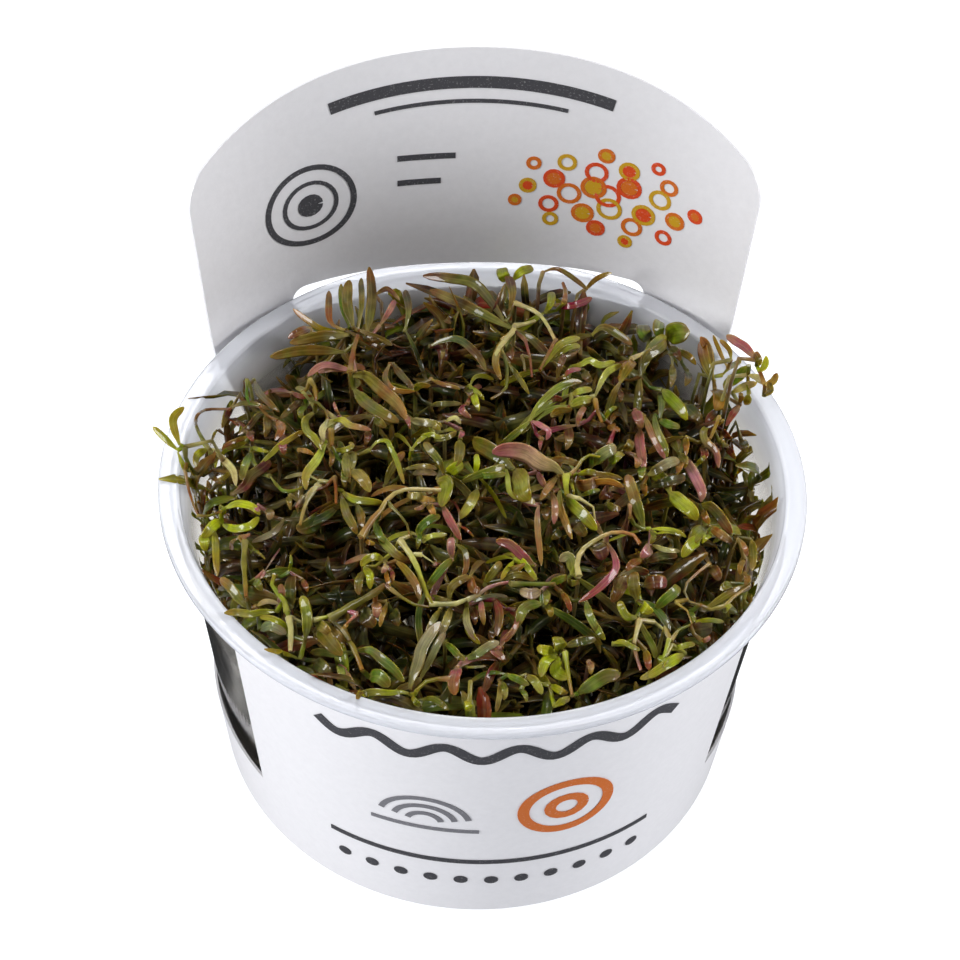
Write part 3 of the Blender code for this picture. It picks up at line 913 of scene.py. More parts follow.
def leaves_on_stems(tree, lines, shapes, side, seed):
    """One leaf at each point of the lines, on the given side, each pair at right angles to the last."""
    index = add_node(tree, "GeometryNodeInputIndex").outputs["Index"]
    tangent = add_node(tree, "GeometryNodeInputTangent").outputs["Tangent"]
    upright = add_node(tree, "FunctionNodeAlignRotationToVector", {"Vector": tangent}, axis="Z")
    jitter = random_between(tree, -0.4, 0.4, seed)
    quarter = math_node(tree, "MULTIPLY_ADD", index, math.pi / 2, side * math.pi)
    about_stem = add_node(
        tree,
        "FunctionNodeAxisAngleToRotation",
        {"Axis": (0, 0, 1), "Angle": math_node(tree, "ADD", quarter, jitter)},
    )
    turned = add_node(
        tree,
        "FunctionNodeRotateRotation",
        {"Rotation": upright.outputs["Rotation"], "Rotate By": about_stem.outputs["Rotation"]},
        rotation_space="LOCAL",
    )
    raised = add_node(
        tree,
        "FunctionNodeAxisAngleToRotation",
        {"Axis": (0, 1, 0), "Angle": random_between(tree, -1.25, -0.1, seed + 1)},
    )
    tilted = add_node(
        tree,
        "FunctionNodeRotateRotation",
        {"Rotation": turned.outputs["Rotation"], "Rotate By": raised.outputs["Rotation"]},
        rotation_space="LOCAL",
    )
    leaves = add_node(
        tree,
        "GeometryNodeInstanceOnPoints",
        {
            "Points": lines,
            "Instance": shapes,
            "Pick Instance": True,
            "Rotation": tilted.outputs["Rotation"],
            "Scale": random_between(tree, 0.6, 1.15, seed + 2),
        },
    )
    return leaves.outputs["Instances"]


def foliage_branch(tree, guides, collection, spacing):
    lines = smooth_lines(tree, guides, Length=spacing)
    info = add_node(
        tree,
        "GeometryNodeCollectionInfo",
        {"Collection": collection, "Separate Children": True, "Reset Children": True},
    )
    shapes = info.outputs["Instances"]
    sides = add_node(tree, "GeometryNodeJoinGeometry")
    for side in (1, 0):
        leaves = leaves_on_stems(tree, lines, shapes, side, 10 + 5 * side)
        tree.links.new(leaves, sides.inputs[0])
    place = add_node(tree, "GeometryNodeInputPosition")
    height = add_node(tree, "ShaderNodeSeparateXYZ", {"Vector": place.outputs["Position"]}).outputs["Z"]
    flat_place = add_node(
        tree, "ShaderNodeVectorMath", {0: place.outputs["Position"], 1: (1.0, 1.0, 0.0)}, operation="MULTIPLY"
    )
    reach = add_node(tree, "ShaderNodeVectorMath", {0: flat_place.outputs["Vector"]}, operation="LENGTH")
    family = math_node(tree, "ADD", read_attribute(tree, "family"), random_between(tree, -0.12, 0.12, 31))
    tone = foliage_tone(tree, family)
    # Painted shade below the canopy and painted light near the wall scale the leaf tone.
    painted_depth_shade = ranged(tree, height, SHADE_FROM, CUP_HEIGHT, *PAINTED_DEPTH_SHADE)
    painted_wall_light = ranged(tree, reach.outputs["Value"], *LIT_WALL, *PAINTED_WALL_LIGHT)
    shaded = add_node(
        tree,
        "ShaderNodeVectorMath",
        {0: tone, "Scale": math_node(tree, "MAXIMUM", painted_depth_shade, painted_wall_light)},
        operation="SCALE",
    )
    return store_attribute(
        tree, sides.outputs["Geometry"], "tone", shaded.outputs["Vector"], "FLOAT_COLOR", "INSTANCE"
    )


# %% Leaves bend along the wall instead of passing through it
WALL_ROOM = 0.35 * MM


def keep_inside(tree, geometry):
    place = add_node(tree, "GeometryNodeInputPosition")
    parts = add_node(tree, "ShaderNodeSeparateXYZ", {"Vector": place.outputs["Position"]})
    x, y, z = (parts.outputs[axis] for axis in "XYZ")
    squares = math_node(tree, "ADD", math_node(tree, "MULTIPLY", x, x), math_node(tree, "MULTIPLY", y, y))
    radius = math_node(tree, "SQRT", math_node(tree, "MAXIMUM", squares, 1e-12))
    wall = math_node(tree, "MULTIPLY_ADD", z, WALL_SLOPE, BASE_RADIUS - WALL - WALL_ROOM)
    above = math_node(tree, "MAXIMUM", math_node(tree, "SUBTRACT", z, CUP_HEIGHT - 0.2 * MM), 0.0)
    room = math_node(tree, "MULTIPLY_ADD", above, 6.0, wall)
    share = math_node(tree, "MINIMUM", math_node(tree, "DIVIDE", room, radius), 1.0)
    moved = add_node(
        tree,
        "ShaderNodeCombineXYZ",
        {"X": math_node(tree, "MULTIPLY", x, share), "Y": math_node(tree, "MULTIPLY", y, share), "Z": z},
    )
    inside = add_node(
        tree, "GeometryNodeSetPosition", {"Geometry": geometry, "Position": moved.outputs["Vector"]}
    )
    return inside.outputs["Geometry"]


# %% The tree that grows a piece of the mat
def make_shoot_tree():
    tree, given, result = start_tree(
        "rotala shoots",
        [
            ("Rings", "int", 13),
            ("Sides", "int", 8),
            ("Thickness", "float", 0.14),
            ("Fold", "float", 0.34),
            ("Stem Step", "float", 1.4 * MM),
            ("Root Step", "float", 4.0 * MM),
            ("Leaf Spacing", "float", NODE_SPACING),
            ("Leaf Shapes", "collection", None),
            ("Ruffle", "float", 0.15 * MM),
            ("Material", "material", None),
        ],
    )
    guides = given["Geometry"]
    leaves = leaf_branch(tree, kind_only(tree, guides, LEAF), given)
    stems = stem_branch(tree, kind_only(tree, guides, STEM), given["Stem Step"])
    roots = stem_branch(tree, kind_only(tree, guides, ROOT), given["Root Step"])
    leafy = kind_only(tree, guides, LEAFY_STEM)
    leafy_stems = stem_branch(tree, leafy, given["Stem Step"])
    foliage = foliage_branch(tree, leafy, given["Leaf Shapes"], given["Leaf Spacing"])
    everything = add_node(tree, "GeometryNodeJoinGeometry")
    for part in (foliage, leafy_stems, roots, stems, leaves):
        tree.links.new(part, everything.inputs[0])
    whole = add_node(tree, "GeometryNodeRealizeInstances", {"Geometry": everything.outputs["Geometry"]})
    grown = keep_inside(tree, ruffle(tree, whole.outputs["Geometry"], 420.0, given["Ruffle"]))
    smooth = add_node(tree, "GeometryNodeSetShadeSmooth", {"Geometry": grown})
    painted = add_node(
        tree,
        "GeometryNodeSetMaterial",
        {"Geometry": smooth.outputs["Geometry"], "Material": given["Material"]},
    )
    tree.links.new(painted.outputs["Geometry"], result[0])
    return tree


shoot_tree = make_shoot_tree()
print("shoot tree:", len(shoot_tree.nodes), "nodes")

# %% [markdown]
# Living tissue under water film: the tone comes from the guide, the midrib is
# paler, the edges are a little redder, and a thin wet coat gives sharp lights.

# %% Finish of the wet leaves
TONE_GAIN, TONE_RICHNESS = 0.68, 1.25
leaf_finish, leaf_tree, leaf_shader = start_material(
    "wet leaves",
    Roughness=0.5,
    Specular_IOR_Level=0.25,
    Subsurface_Weight=0.35,
    Subsurface_Radius=(1.0, 0.8, 0.2),
    Subsurface_Scale=0.0008,
    Coat_Weight=0.75,
    Coat_Roughness=0.035,
    Coat_IOR=1.4,
)


def shader_attribute(tree, name, output="Fac"):
    return add_node(tree, "ShaderNodeAttribute", attribute_name=name).outputs[output]


def mixed_colour(tree, factor, first, second, blend="MIX"):
    mix = add_node(tree, "ShaderNodeMix", {"Factor": factor}, data_type="RGBA", blend_type=blend)
    for slot_number, value in ((6, first), (7, second)):
        if isinstance(value, bpy.types.NodeSocket):
            tree.links.new(value, mix.inputs[slot_number])
        else:
            mix.inputs[slot_number].default_value = (*value, 1.0)
    return mix.outputs[2]


def paint_leaves(tree, shader):
    raw_tone = shader_attribute(tree, "tone", "Color")
    tone = add_node(
        tree, "ShaderNodeHueSaturation", {"Color": raw_tone, "Saturation": TONE_RICHNESS, "Value": TONE_GAIN}
    ).outputs["Color"]
    from_midrib = math_node(tree, "ABSOLUTE", shader_attribute(tree, "across"))
    along = shader_attribute(tree, "along")
    blotches = object_noise(tree, 650.0, 3.0, 0.6).outputs["Fac"]
    speckle = object_noise(tree, 3200.0, 2.0).outputs["Fac"]
    patches = object_noise(tree, 240.0, 2.0).outputs["Color"]
    patch = add_node(tree, "ShaderNodeSeparateColor", {"Color": patches}).outputs
    greened = mixed_colour(tree, ranged(tree, patch["Red"], 0.4, 0.62, 0.0, 0.45), tone, linear("4f6212"))
    flushed = mixed_colour(tree, ranged(tree, patch["Green"], 0.5, 0.68, 0.0, 0.35), greened, linear("7a2a1c"))
    paled = mixed_colour(tree, ranged(tree, patch["Blue"], 0.52, 0.7, 0.0, 0.25), flushed, linear("b5a85c"))
    base_pale = ranged(tree, along, 0.0, 0.3, 0.3, 0.0)
    based = mixed_colour(tree, base_pale, paled, linear("b5a766"))
    streak_place = add_node(
        tree,
        "ShaderNodeCombineXYZ",
        {
            "X": math_node(tree, "MULTIPLY", shader_attribute(tree, "across"), 6.0),
            "Y": math_node(tree, "MULTIPLY", along, 2.0),
            "Z": math_node(tree, "MULTIPLY", patch["Red"], 5.0),
        },
    )
    streaks = add_node(tree, "ShaderNodeTexNoise", {"Vector": streak_place.outputs["Vector"], "Scale": 1.0})
    streak_light = ranged(tree, streaks.outputs["Fac"], 0.3, 0.7, 0.7, 1.3)
    light = math_node(tree, "MULTIPLY", ranged(tree, blotches, 0.3, 0.7, 0.75, 1.25), streak_light)
    grey = add_node(tree, "ShaderNodeCombineXYZ", {"X": light, "Y": light, "Z": light}).outputs["Vector"]
    varied = mixed_colour(tree, 1.0, based, grey, "MULTIPLY")
    midrib = ranged(tree, from_midrib, 0.0, 0.2, 0.14, 0.0)
    ribbed = mixed_colour(tree, midrib, varied, linear("b8ae62"))
    edge = ranged(tree, from_midrib, 0.7, 1.0, 0.0, 0.3)
    edged = mixed_colour(tree, edge, ribbed, linear("6e3414"))
    mottle = ranged(tree, speckle, 0.4, 0.6, 0.4, 1.0)
    tip = math_node(tree, "MULTIPLY", ranged(tree, along, 0.65, 1.0, 0.0, 0.45), mottle)
    tree.links.new(mixed_colour(tree, tip, edged, linear("8e4a20")), shader.inputs["Base Color"])
    tree.links.new(ranged(tree, blotches, 0.3, 0.7, 0.4, 0.6), shader.inputs["Roughness"])
    height = math_node(tree, "MULTIPLY_ADD", speckle, 0.25, blotches)
    bumped(tree, shader, height, 0.3, 0.0002)


paint_leaves(leaf_tree, leaf_shader)

# %% [markdown]
# Guides are gathered for each piece of the mat before its tree is run. A small
# class keeps the points, the lines and what each point carries.

# %% Guide lines
class Guides:
    def __init__(self):
        self.points, self.lines = [], []
        self.values = {"half_width": [], "roundness": [], "family": [], "kind": []}
        self.faces, self.tones = [], []

    def add(self, kind, points, half_widths, tones, faces=None, roundness=0.0, family=0.0):
        first = len(self.points)
        count = len(points)
        self.points += [tuple(point) for point in points]
        self.lines += [(first + i, first + i + 1) for i in range(count - 1)]
        self.faces += [tuple(face) for face in (faces or [(0.0, 0.0, 1.0)] * count)]
        self.tones += [(*tone, 1.0) for tone in tones]
        self.values["half_width"] += list(half_widths)
        for name, value in (("roundness", roundness), ("family", family), ("kind", kind)):
            self.values[name] += [value] * count

    def mesh(self, name):
        mesh = bpy.data.meshes.new(name)
        mesh.from_pydata(self.points, self.lines, [])
        for title, values in self.values.items():
            kind = "INT" if title == "kind" else "FLOAT"
            mesh.attributes.new(title, kind, "POINT").data.foreach_set("value", values)
        face = mesh.attributes.new("face", "FLOAT_VECTOR", "POINT")
        face.data.foreach_set("vector", np.array(self.faces, np.float32).ravel())
        tone = mesh.attributes.new("tone", "FLOAT_COLOR", "POINT")
        tone.data.foreach_set("color", np.array(self.tones, np.float32).ravel())
        return mesh


# %% The leaf shapes that the leafy stems carry
PLAIN_TONE = linear("6f7a26")
LEAF_LENGTHS = (8.0, 6.6, 9.2, 5.6, 7.4, 4.6)


def leaf_shape_points(number, length):
    """A leaf from its stem outwards along +X, its face up, arched and swung by a rule for each number."""
    droop = (0.0, 0.35, 0.6, -0.2, 0.15, 0.1)[number]
    swing = (0.15, -0.2, 0.1, 0.25, -0.3, 0.0)[number]
    points = []
    for i in range(5):
        t = i / 4
        points.append(Vector((t, swing * t * t, 0.25 * math.sin(math.pi * t) - droop * t * t)) * length * MM)
    return points


def make_leaf_shapes():
    """A collection of leaf meshes for the tree to pick from."""
    shapes = bpy.data.collections.new("leaf shapes")
    for number, length in enumerate(LEAF_LENGTHS):
        guides = Guides()
        points = leaf_shape_points(number, length)
        half_width = (1.0, 0.8, 1.1, 0.9, 0.75, 0.7)[number] * MM
        faces = [(0.25 * (number % 3 - 1) * i / 4, 0.5 * (number % 2) - 0.25, 1.0) for i in range(5)]
        guides.add(LEAF, points, [half_width] * 5, [PLAIN_TONE] * 5, faces, 0.5 * (number % 3))
        values = {"Rings": 6, "Sides": 6, "Material": leaf_finish, "Ruffle": 0.0}
        mesh = run_tree(shoot_tree, guides.mesh("guide"), values, f"leaf_shape_{number}")
        mesh.attributes.remove(mesh.attributes["tone"])
        shape = bpy.data.objects.new(f"leaf_shape_{number}", mesh)
        shapes.objects.link(shape)
    return shapes


leaf_shapes = make_leaf_shapes()

# %% [markdown]
# The mat is divided into the frame's tufts: one in the middle, six round it and
# twelve at the wall. Each point of the mat belongs to one of them.

# %% The tufts of the mat
INNER_RINGS = (9.5 * MM, 23.5 * MM)
CANOPY_MOUND = 5.5 * MM
CANOPY_TILT = 0.05
MAT_RADIUS = 38.0 * MM
pieces = {name: Guides() for name in frame["nodes"] if name.startswith(("clump", "sprig"))}


def tuft_at(x, y):
    radius, angle = math.hypot(x, y), math.degrees(math.atan2(y, x))
    if radius < INNER_RINGS[0]:
        return "clump_centre"
    if radius < INNER_RINGS[1]:
        return f"clump_inner_{int(angle % 360 / 60) + 1}"
    return f"clump_outer_{int((angle - 15) % 360 / 30) + 1}"


def canopy(x, y):
    """Height that the leaf tips of the mat reach."""
    away = min(1.0, (x * x + y * y) / MAT_RADIUS**2)
    return CUP_HEIGHT + CANOPY_MOUND * (1 - away) + CANOPY_TILT * y


# %% Shoots that fill the cup from the gel to just under the surface
FILL_STEMS = 170
WALL_STEMS = 84
TURN_INWARD = 26.0 * MM
FILL_DEPTH = (8.0 * MM, 15.0 * MM)
BACK_RAISE = 5.5 * MM
BACK_FROM, BACK_FULL = 8.0 * MM, 30.0 * MM
WALL_TOPS = (35.0 * MM, 44.0 * MM)
random = np.random.default_rng(7)


def spiral_place(i, count, radius):
    """Evenly spread places on a disc, by the golden angle."""
    away = radius * math.sqrt((i + 0.5) / count)
    around = i * math.pi * (3 - math.sqrt(5))
    return away * math.cos(around), away * math.sin(around)


def grow_filler(i):
    x, y = spiral_place(i, FILL_STEMS, 34.0 * MM)
    x, y = x + random.normal(0, 1.2 * MM), y + random.normal(0, 1.2 * MM)
    heading = random.uniform(0, math.tau)
    if math.hypot(x, y) > TURN_INWARD:
        heading = math.atan2(-y, -x) + random.uniform(-1.2, 1.2)
    ahead = Vector((math.cos(heading), math.sin(heading), 0.0))
    spread = 1.04
    neck = Vector((x * spread, y * spread, 0.0)) + ahead * random.uniform(0, 2 * MM)
    backward = min(1.0, max(0.0, (y - BACK_FROM) / (BACK_FULL - BACK_FROM)))
    depth = random.uniform(*FILL_DEPTH) - BACK_RAISE * backward
    points = [Vector((x, y, 6 * MM)), Vector((x * 1.02, y * 1.02, 22 * MM)) + ahead * random.uniform(-2, 2) * MM]
    points.append(Vector((neck.x, neck.y, canopy(neck.x, neck.y) - depth - 6 * MM)))
    reach = random.uniform(2.0, 4.0) * MM
    for step in (0.5, 1.4, 2.4):
        place = neck + ahead * reach * step
        sag = depth + random.uniform(-0.6, 0.6) * MM + 0.4 * MM * step
        points.append(Vector((place.x, place.y, canopy(place.x, place.y) - sag)))
    family = float(random.beta(1.6, 1.8))
    # The stem is darker towards the gel: partly its own browner colour and partly painted shade.
    tones = [linear("4a2a14")] * 2 + [linear("5c4a20")] * 2 + [linear("7a7a36")] * 2
    widths = [0.45 * MM] * 3 + [0.4 * MM] * 2 + [0.3 * MM]
    pieces[tuft_at(neck.x, neck.y)].add(LEAFY_STEM, points, widths, tones, family=family)


def grow_wall_stem(i):
    """A stem pressed against the clear wall, as the side windows show them."""
    around = math.tau * (i + random.uniform(-0.4, 0.4)) / WALL_STEMS
    top = random.uniform(*WALL_TOPS)
    points = []
    for height in even(5 * MM, top, 6):
        sway = around + random.uniform(-0.05, 0.05)
        reach = inner_wall(height) - random.uniform(1.0, 2.2) * MM
        points.append(Vector((reach * math.cos(sway), reach * math.sin(sway), height)))
    family = float(random.beta(2.0, 2.2))
    tones = [linear("5a3416")] * 3 + [linear("6a5a26")] * 3
    name = tuft_at(points[-1].x, points[-1].y)
    pieces[name].add(LEAFY_STEM, points, [0.5 * MM] * 6, tones, family=family)


for stem_number in range(FILL_STEMS):
    grow_filler(stem_number)
for stem_number in range(WALL_STEMS):
    grow_wall_stem(stem_number)
print("filling stems:", FILL_STEMS, "and wall stems:", WALL_STEMS)

# %% [markdown]
# The top layer is what the eye reads, so its shoots are laid one by one. Each
# row names a tone, or a base and a tip tone, a width in pixels and the pixels
# that the leaf passes through in the 960 x 960 picture, from base to tip. A
# sight line through each pixel meets the mat's surface, and the leaf lies there.

# %% Tones of the shoots
TONES = {
    "lime": "b8c424",
    "yellow_green": "98a024",
    "green": "557318",
    "dark_green": "2c380e",
    "olive": "665f18",
    "dark_olive": "40340e",
    "brown": "47220c",
    "orange": "8e5226",
    "tan": "aa8854",
    "cream": "e2d8a4",
    "pale_green": "b4ba66",
    "peach": "c08c66",
    "pink": "bc7a88",
    "crimson": "883846",
    "wine": "521820",
    "lilac": "c4949e",
    # This pale grey-khaki tone, used mostly on leaf tips, is a painted sheen of the wet surface.
    "silver": "aca68c",
}
# These dark tones are partly the leaves' own colours and partly painted shade of leaves that lie deeper; such leaves
# are laid lower.
DEEP_AND_SHADED_TONES = ("dark_green", "dark_olive", "brown", "wine")

# %% Leaves at the left edge
LEFT_LEAVES = [
    ("lime", 8, (178, 450), (166, 440), (153, 427)),
    ("yellow_green", 9, (180, 445), (173, 420), (184, 407)),
    ("pale_green", 6, (178, 452), (182, 462), (187, 472)),
    ("wine", 7, (232, 409), (226, 417), (222, 428)),
    ("olive>brown", 6, (232, 407), (245, 403), (260, 406), (270, 410)),
    ("yellow_green", 9, (207, 449), (196, 456), (196, 467)),
    ("cream", 8, (215, 451), (226, 462), (234, 472), (236, 486)),
    ("green", 10, (251, 452), (246, 465), (241, 480)),
    ("crimson", 9, (252, 432), (250, 437), (254, 441)),
    ("pale_green>tan", 7, (257, 467), (271, 454), (280, 445), (294, 436), (306, 430)),
    ("lime", 9, (224, 509), (237, 504), (252, 507), (260, 515)),
    ("lime", 9, (222, 524), (235, 529), (250, 526), (259, 517)),
    ("olive>brown", 8, (254, 380), (260, 394), (271, 405), (279, 412)),
    ("brown", 7, (272, 414), (260, 414), (249, 427), (238, 435)),
    ("crimson", 7, (292, 393), (302, 396), (312, 396)),
    ("brown", 8, (302, 399), (294, 407), (280, 419)),
    ("cream", 8, (337, 420), (327, 424), (322, 432), (324, 442)),
    ("green", 8, (307, 405), (301, 412), (302, 419)),
    ("olive>yellow_green", 9, (315, 412), (305, 420), (307, 432), (315, 439), (321, 450)),
    ("peach>brown", 10, (277, 421), (282, 430), (275, 440)),
    ("olive>brown", 10, (266, 416), (267, 427), (265, 437)),
    ("crimson", 5, (250, 436), (237, 440), (226, 445), (222, 450)),
    ("olive>brown", 6, (247, 442), (237, 445), (227, 449)),
    ("yellow_green", 5, (252, 447), (260, 450), (270, 452)),
    ("wine", 12, (232, 494), (245, 486), (252, 475), (265, 466), (270, 460)),
    ("olive", 6, (231, 472), (222, 479), (218, 480)),
    ("dark_olive>orange", 6, (190, 470), (197, 475), (205, 472), (212, 460), (215, 451)),
    ("brown", 6, (206, 468), (215, 479), (222, 484)),
    ("pale_green", 10, (326, 442), (316, 461), (306, 475), (306, 490)),
    ("cream", 5, (319, 481), (315, 488), (310, 494)),
    ("peach", 6, (299, 450), (307, 451), (314, 455)),
    ("orange>brown", 6, (331, 450), (332, 460), (330, 467)),
    ("green", 10, (347, 467), (344, 477), (345, 487)),
    ("pink", 4, (340, 416), (336, 409), (334, 402)),
    ("lime", 12, (220, 520), (210, 529), (202, 540)),
    ("yellow_green>tan", 9, (214, 529), (215, 542), (216, 559), (217, 576)),
    ("green", 4, (270, 476), (277, 485), (285, 491), (297, 490), (302, 486)),
    ("olive>orange", 6, (290, 495), (289, 502), (291, 510)),
    ("olive>silver", 10, (266, 510), (270, 514), (269, 520)),
    ("dark_green", 20, (320, 516), (310, 525), (297, 530)),
    ("brown>silver", 8, (284, 520), (272, 534), (252, 542)),
    ("pink", 5, (257, 505), (257, 509), (260, 511)),
    ("pink>brown", 10, (284, 437), (283, 447), (285, 455)),
    ("tan>pink", 6, (240, 537), (245, 536), (250, 534)),
]

# %% Leaves at the back, left of the middle
BACK_LEFT_LEAVES = [
    ("orange", 8, (345, 330), (330, 322), (329, 291)),
    ("green", 7, (350, 328), (343, 308), (341, 284)),
    ("olive", 12, (354, 328), (348, 305), (349, 280)),
    ("olive", 7, (358, 330), (362, 305), (361, 278)),
    ("olive>brown", 12, (366, 335), (371, 300), (369, 267)),
    ("yellow_green>orange", 7, (345, 332), (320, 328), (293, 309)),
    ("orange>brown", 10, (310, 328), (300, 332), (288, 338)),
    ("olive", 12, (350, 335), (320, 336), (290, 343)),
    ("olive", 12, (345, 352), (305, 350), (270, 357)),
    ("pink", 8, (355, 372), (325, 365), (308, 376)),
    ("pink", 7, (380, 325), (389, 312), (395, 300)),
    ("crimson>brown", 6, (375, 295), (388, 289), (400, 300)),
    ("dark_green", 8, (405, 330), (409, 310), (405, 290)),
    ("crimson>pink", 8, (346, 371), (332, 369), (318, 372)),
    ("olive>orange", 14, (350, 376), (366, 376), (382, 390), (396, 402), (407, 420)),
    ("olive", 14, (354, 389), (367, 404), (384, 415), (399, 422)),
    ("olive", 10, (375, 417), (380, 423), (386, 427)),
    ("olive>orange", 7, (390, 364), (385, 377), (391, 388), (400, 391), (415, 391)),
    ("dark_olive", 8, (393, 364), (400, 374), (410, 385), (415, 390)),
    ("green>orange", 8, (415, 391), (420, 385), (430, 386)),
    ("crimson", 5, (431, 379), (442, 384), (455, 387), (460, 389)),
    ("brown", 10, (466, 388), (470, 393), (475, 400)),
    ("yellow_green", 6, (470, 386), (480, 395), (484, 400)),
    ("lime", 9, (473, 393), (476, 401), (479, 411)),
    ("dark_green", 9, (430, 346), (442, 341), (455, 339), (467, 345), (480, 359), (486, 371)),
    ("wine", 5, (442, 347), (443, 353), (441, 359)),
    ("dark_green", 6, (430, 405), (442, 404), (462, 404)),
    ("silver>olive", 9, (410, 420), (420, 422), (434, 424), (442, 426)),
    ("pink>brown", 6, (405, 416), (409, 422), (410, 429)),
    ("cream", 6, (445, 422), (455, 418), (461, 424)),
    ("olive", 8, (429, 424), (435, 426), (440, 430)),
    ("crimson>pink", 8, (467, 404), (462, 410), (471, 418)),
    ("pink", 6, (461, 430), (462, 434), (459, 438)),
    ("yellow_green", 6, (434, 434), (425, 436), (417, 444)),
    ("olive", 7, (439, 430), (437, 439), (448, 437), (457, 431)),
    ("wine", 8, (367, 431), (368, 438), (365, 444)),
    ("lime>pink", 8, (330, 422), (342, 420), (350, 426), (361, 428), (371, 430)),
    ("yellow_green>orange", 6, (332, 426), (331, 433), (334, 440)),
    ("olive>brown", 12, (505, 322), (478, 286), (450, 278), (423, 276)),
    ("olive>brown", 12, (514, 330), (470, 308), (430, 290)),
    ("dark_olive", 10, (510, 322), (500, 305), (488, 291)),
]

# %% Leaves at the back, right of the middle
BACK_RIGHT_LEAVES = [
    ("lime", 13, (508, 280), (503, 275), (502, 268)),
    ("lime", 10, (513, 280), (521, 272), (533, 268)),
    ("orange>brown", 11, (510, 310), (512, 292), (508, 276)),
    ("yellow_green", 9, (545, 312), (551, 303), (551, 292)),
    ("crimson>brown", 6, (543, 272), (560, 270), (588, 290)),
    ("crimson", 8, (552, 305), (572, 306), (592, 298)),
    ("yellow_green", 9, (540, 370), (560, 345), (580, 338)),
    ("orange>olive", 6, (585, 290), (598, 278), (612, 273)),
    ("olive>brown", 10, (592, 335), (605, 328), (632, 345)),
    ("green", 16, (650, 339), (644, 333), (643, 325)),
    ("green", 14, (662, 336), (658, 329), (660, 321)),
    ("lime>green", 24, (667, 338), (676, 333), (690, 332)),
    ("olive>yellow_green", 12, (640, 377), (650, 352), (665, 335)),
    ("olive>orange", 11, (712, 377), (708, 352), (700, 337)),
    ("tan>orange", 8, (502, 340), (497, 354), (496, 365), (501, 380)),
    ("olive", 6, (509, 364), (517, 375), (525, 387), (529, 394)),
    ("dark_green", 12, (506, 347), (511, 352), (512, 360)),
    ("yellow_green", 8, (550, 361), (557, 354), (570, 347), (580, 346)),
    ("wine", 8, (557, 380), (560, 365), (565, 355)),
    ("crimson>pink", 6, (564, 377), (570, 371), (581, 369)),
    ("lime", 8, (572, 366), (582, 364), (590, 360), (600, 365), (615, 362)),
    ("brown", 10, (584, 371), (587, 377), (592, 381)),
    ("yellow_green>green", 9, (530, 421), (535, 410), (545, 399), (557, 389), (572, 382), (582, 382)),
    ("pale_green", 10, (570, 406), (580, 401), (592, 399)),
    ("pale_green", 8, (572, 394), (581, 391), (592, 389)),
    ("wine", 8, (550, 401), (556, 398), (562, 400)),
    ("peach>brown", 9, (552, 415), (560, 410), (572, 410)),
    ("pink>crimson", 7, (577, 425), (580, 415), (585, 407)),
    ("pink", 7, (532, 421), (541, 426), (549, 432), (546, 440)),
    ("wine", 10, (567, 421), (569, 440), (566, 450)),
    ("cream>lime", 8, (595, 396), (600, 384), (607, 372), (621, 365)),
    ("green", 5, (605, 420), (609, 411), (617, 407)),
    ("orange", 10, (610, 424), (614, 429), (620, 430)),
    ("dark_olive", 8, (582, 420), (595, 424), (606, 426)),
    ("tan>orange", 8, (619, 377), (625, 367), (629, 362)),
    ("wine", 7, (619, 390), (621, 396), (620, 402)),
    ("tan>olive", 10, (621, 381), (629, 367), (634, 361)),
    ("olive", 12, (641, 369), (647, 357), (660, 347), (666, 341)),
    ("dark_olive", 12, (618, 352), (625, 350), (633, 352)),
    ("brown", 10, (670, 347), (677, 353), (680, 361)),
    ("olive>brown", 8, (672, 366), (673, 377), (671, 387)),
    ("olive", 8, (679, 350), (690, 357), (696, 365)),
    ("olive>orange", 12, (714, 381), (709, 370), (704, 355), (702, 340)),
    ("olive>orange", 6, (731, 360), (729, 350), (720, 340)),
]

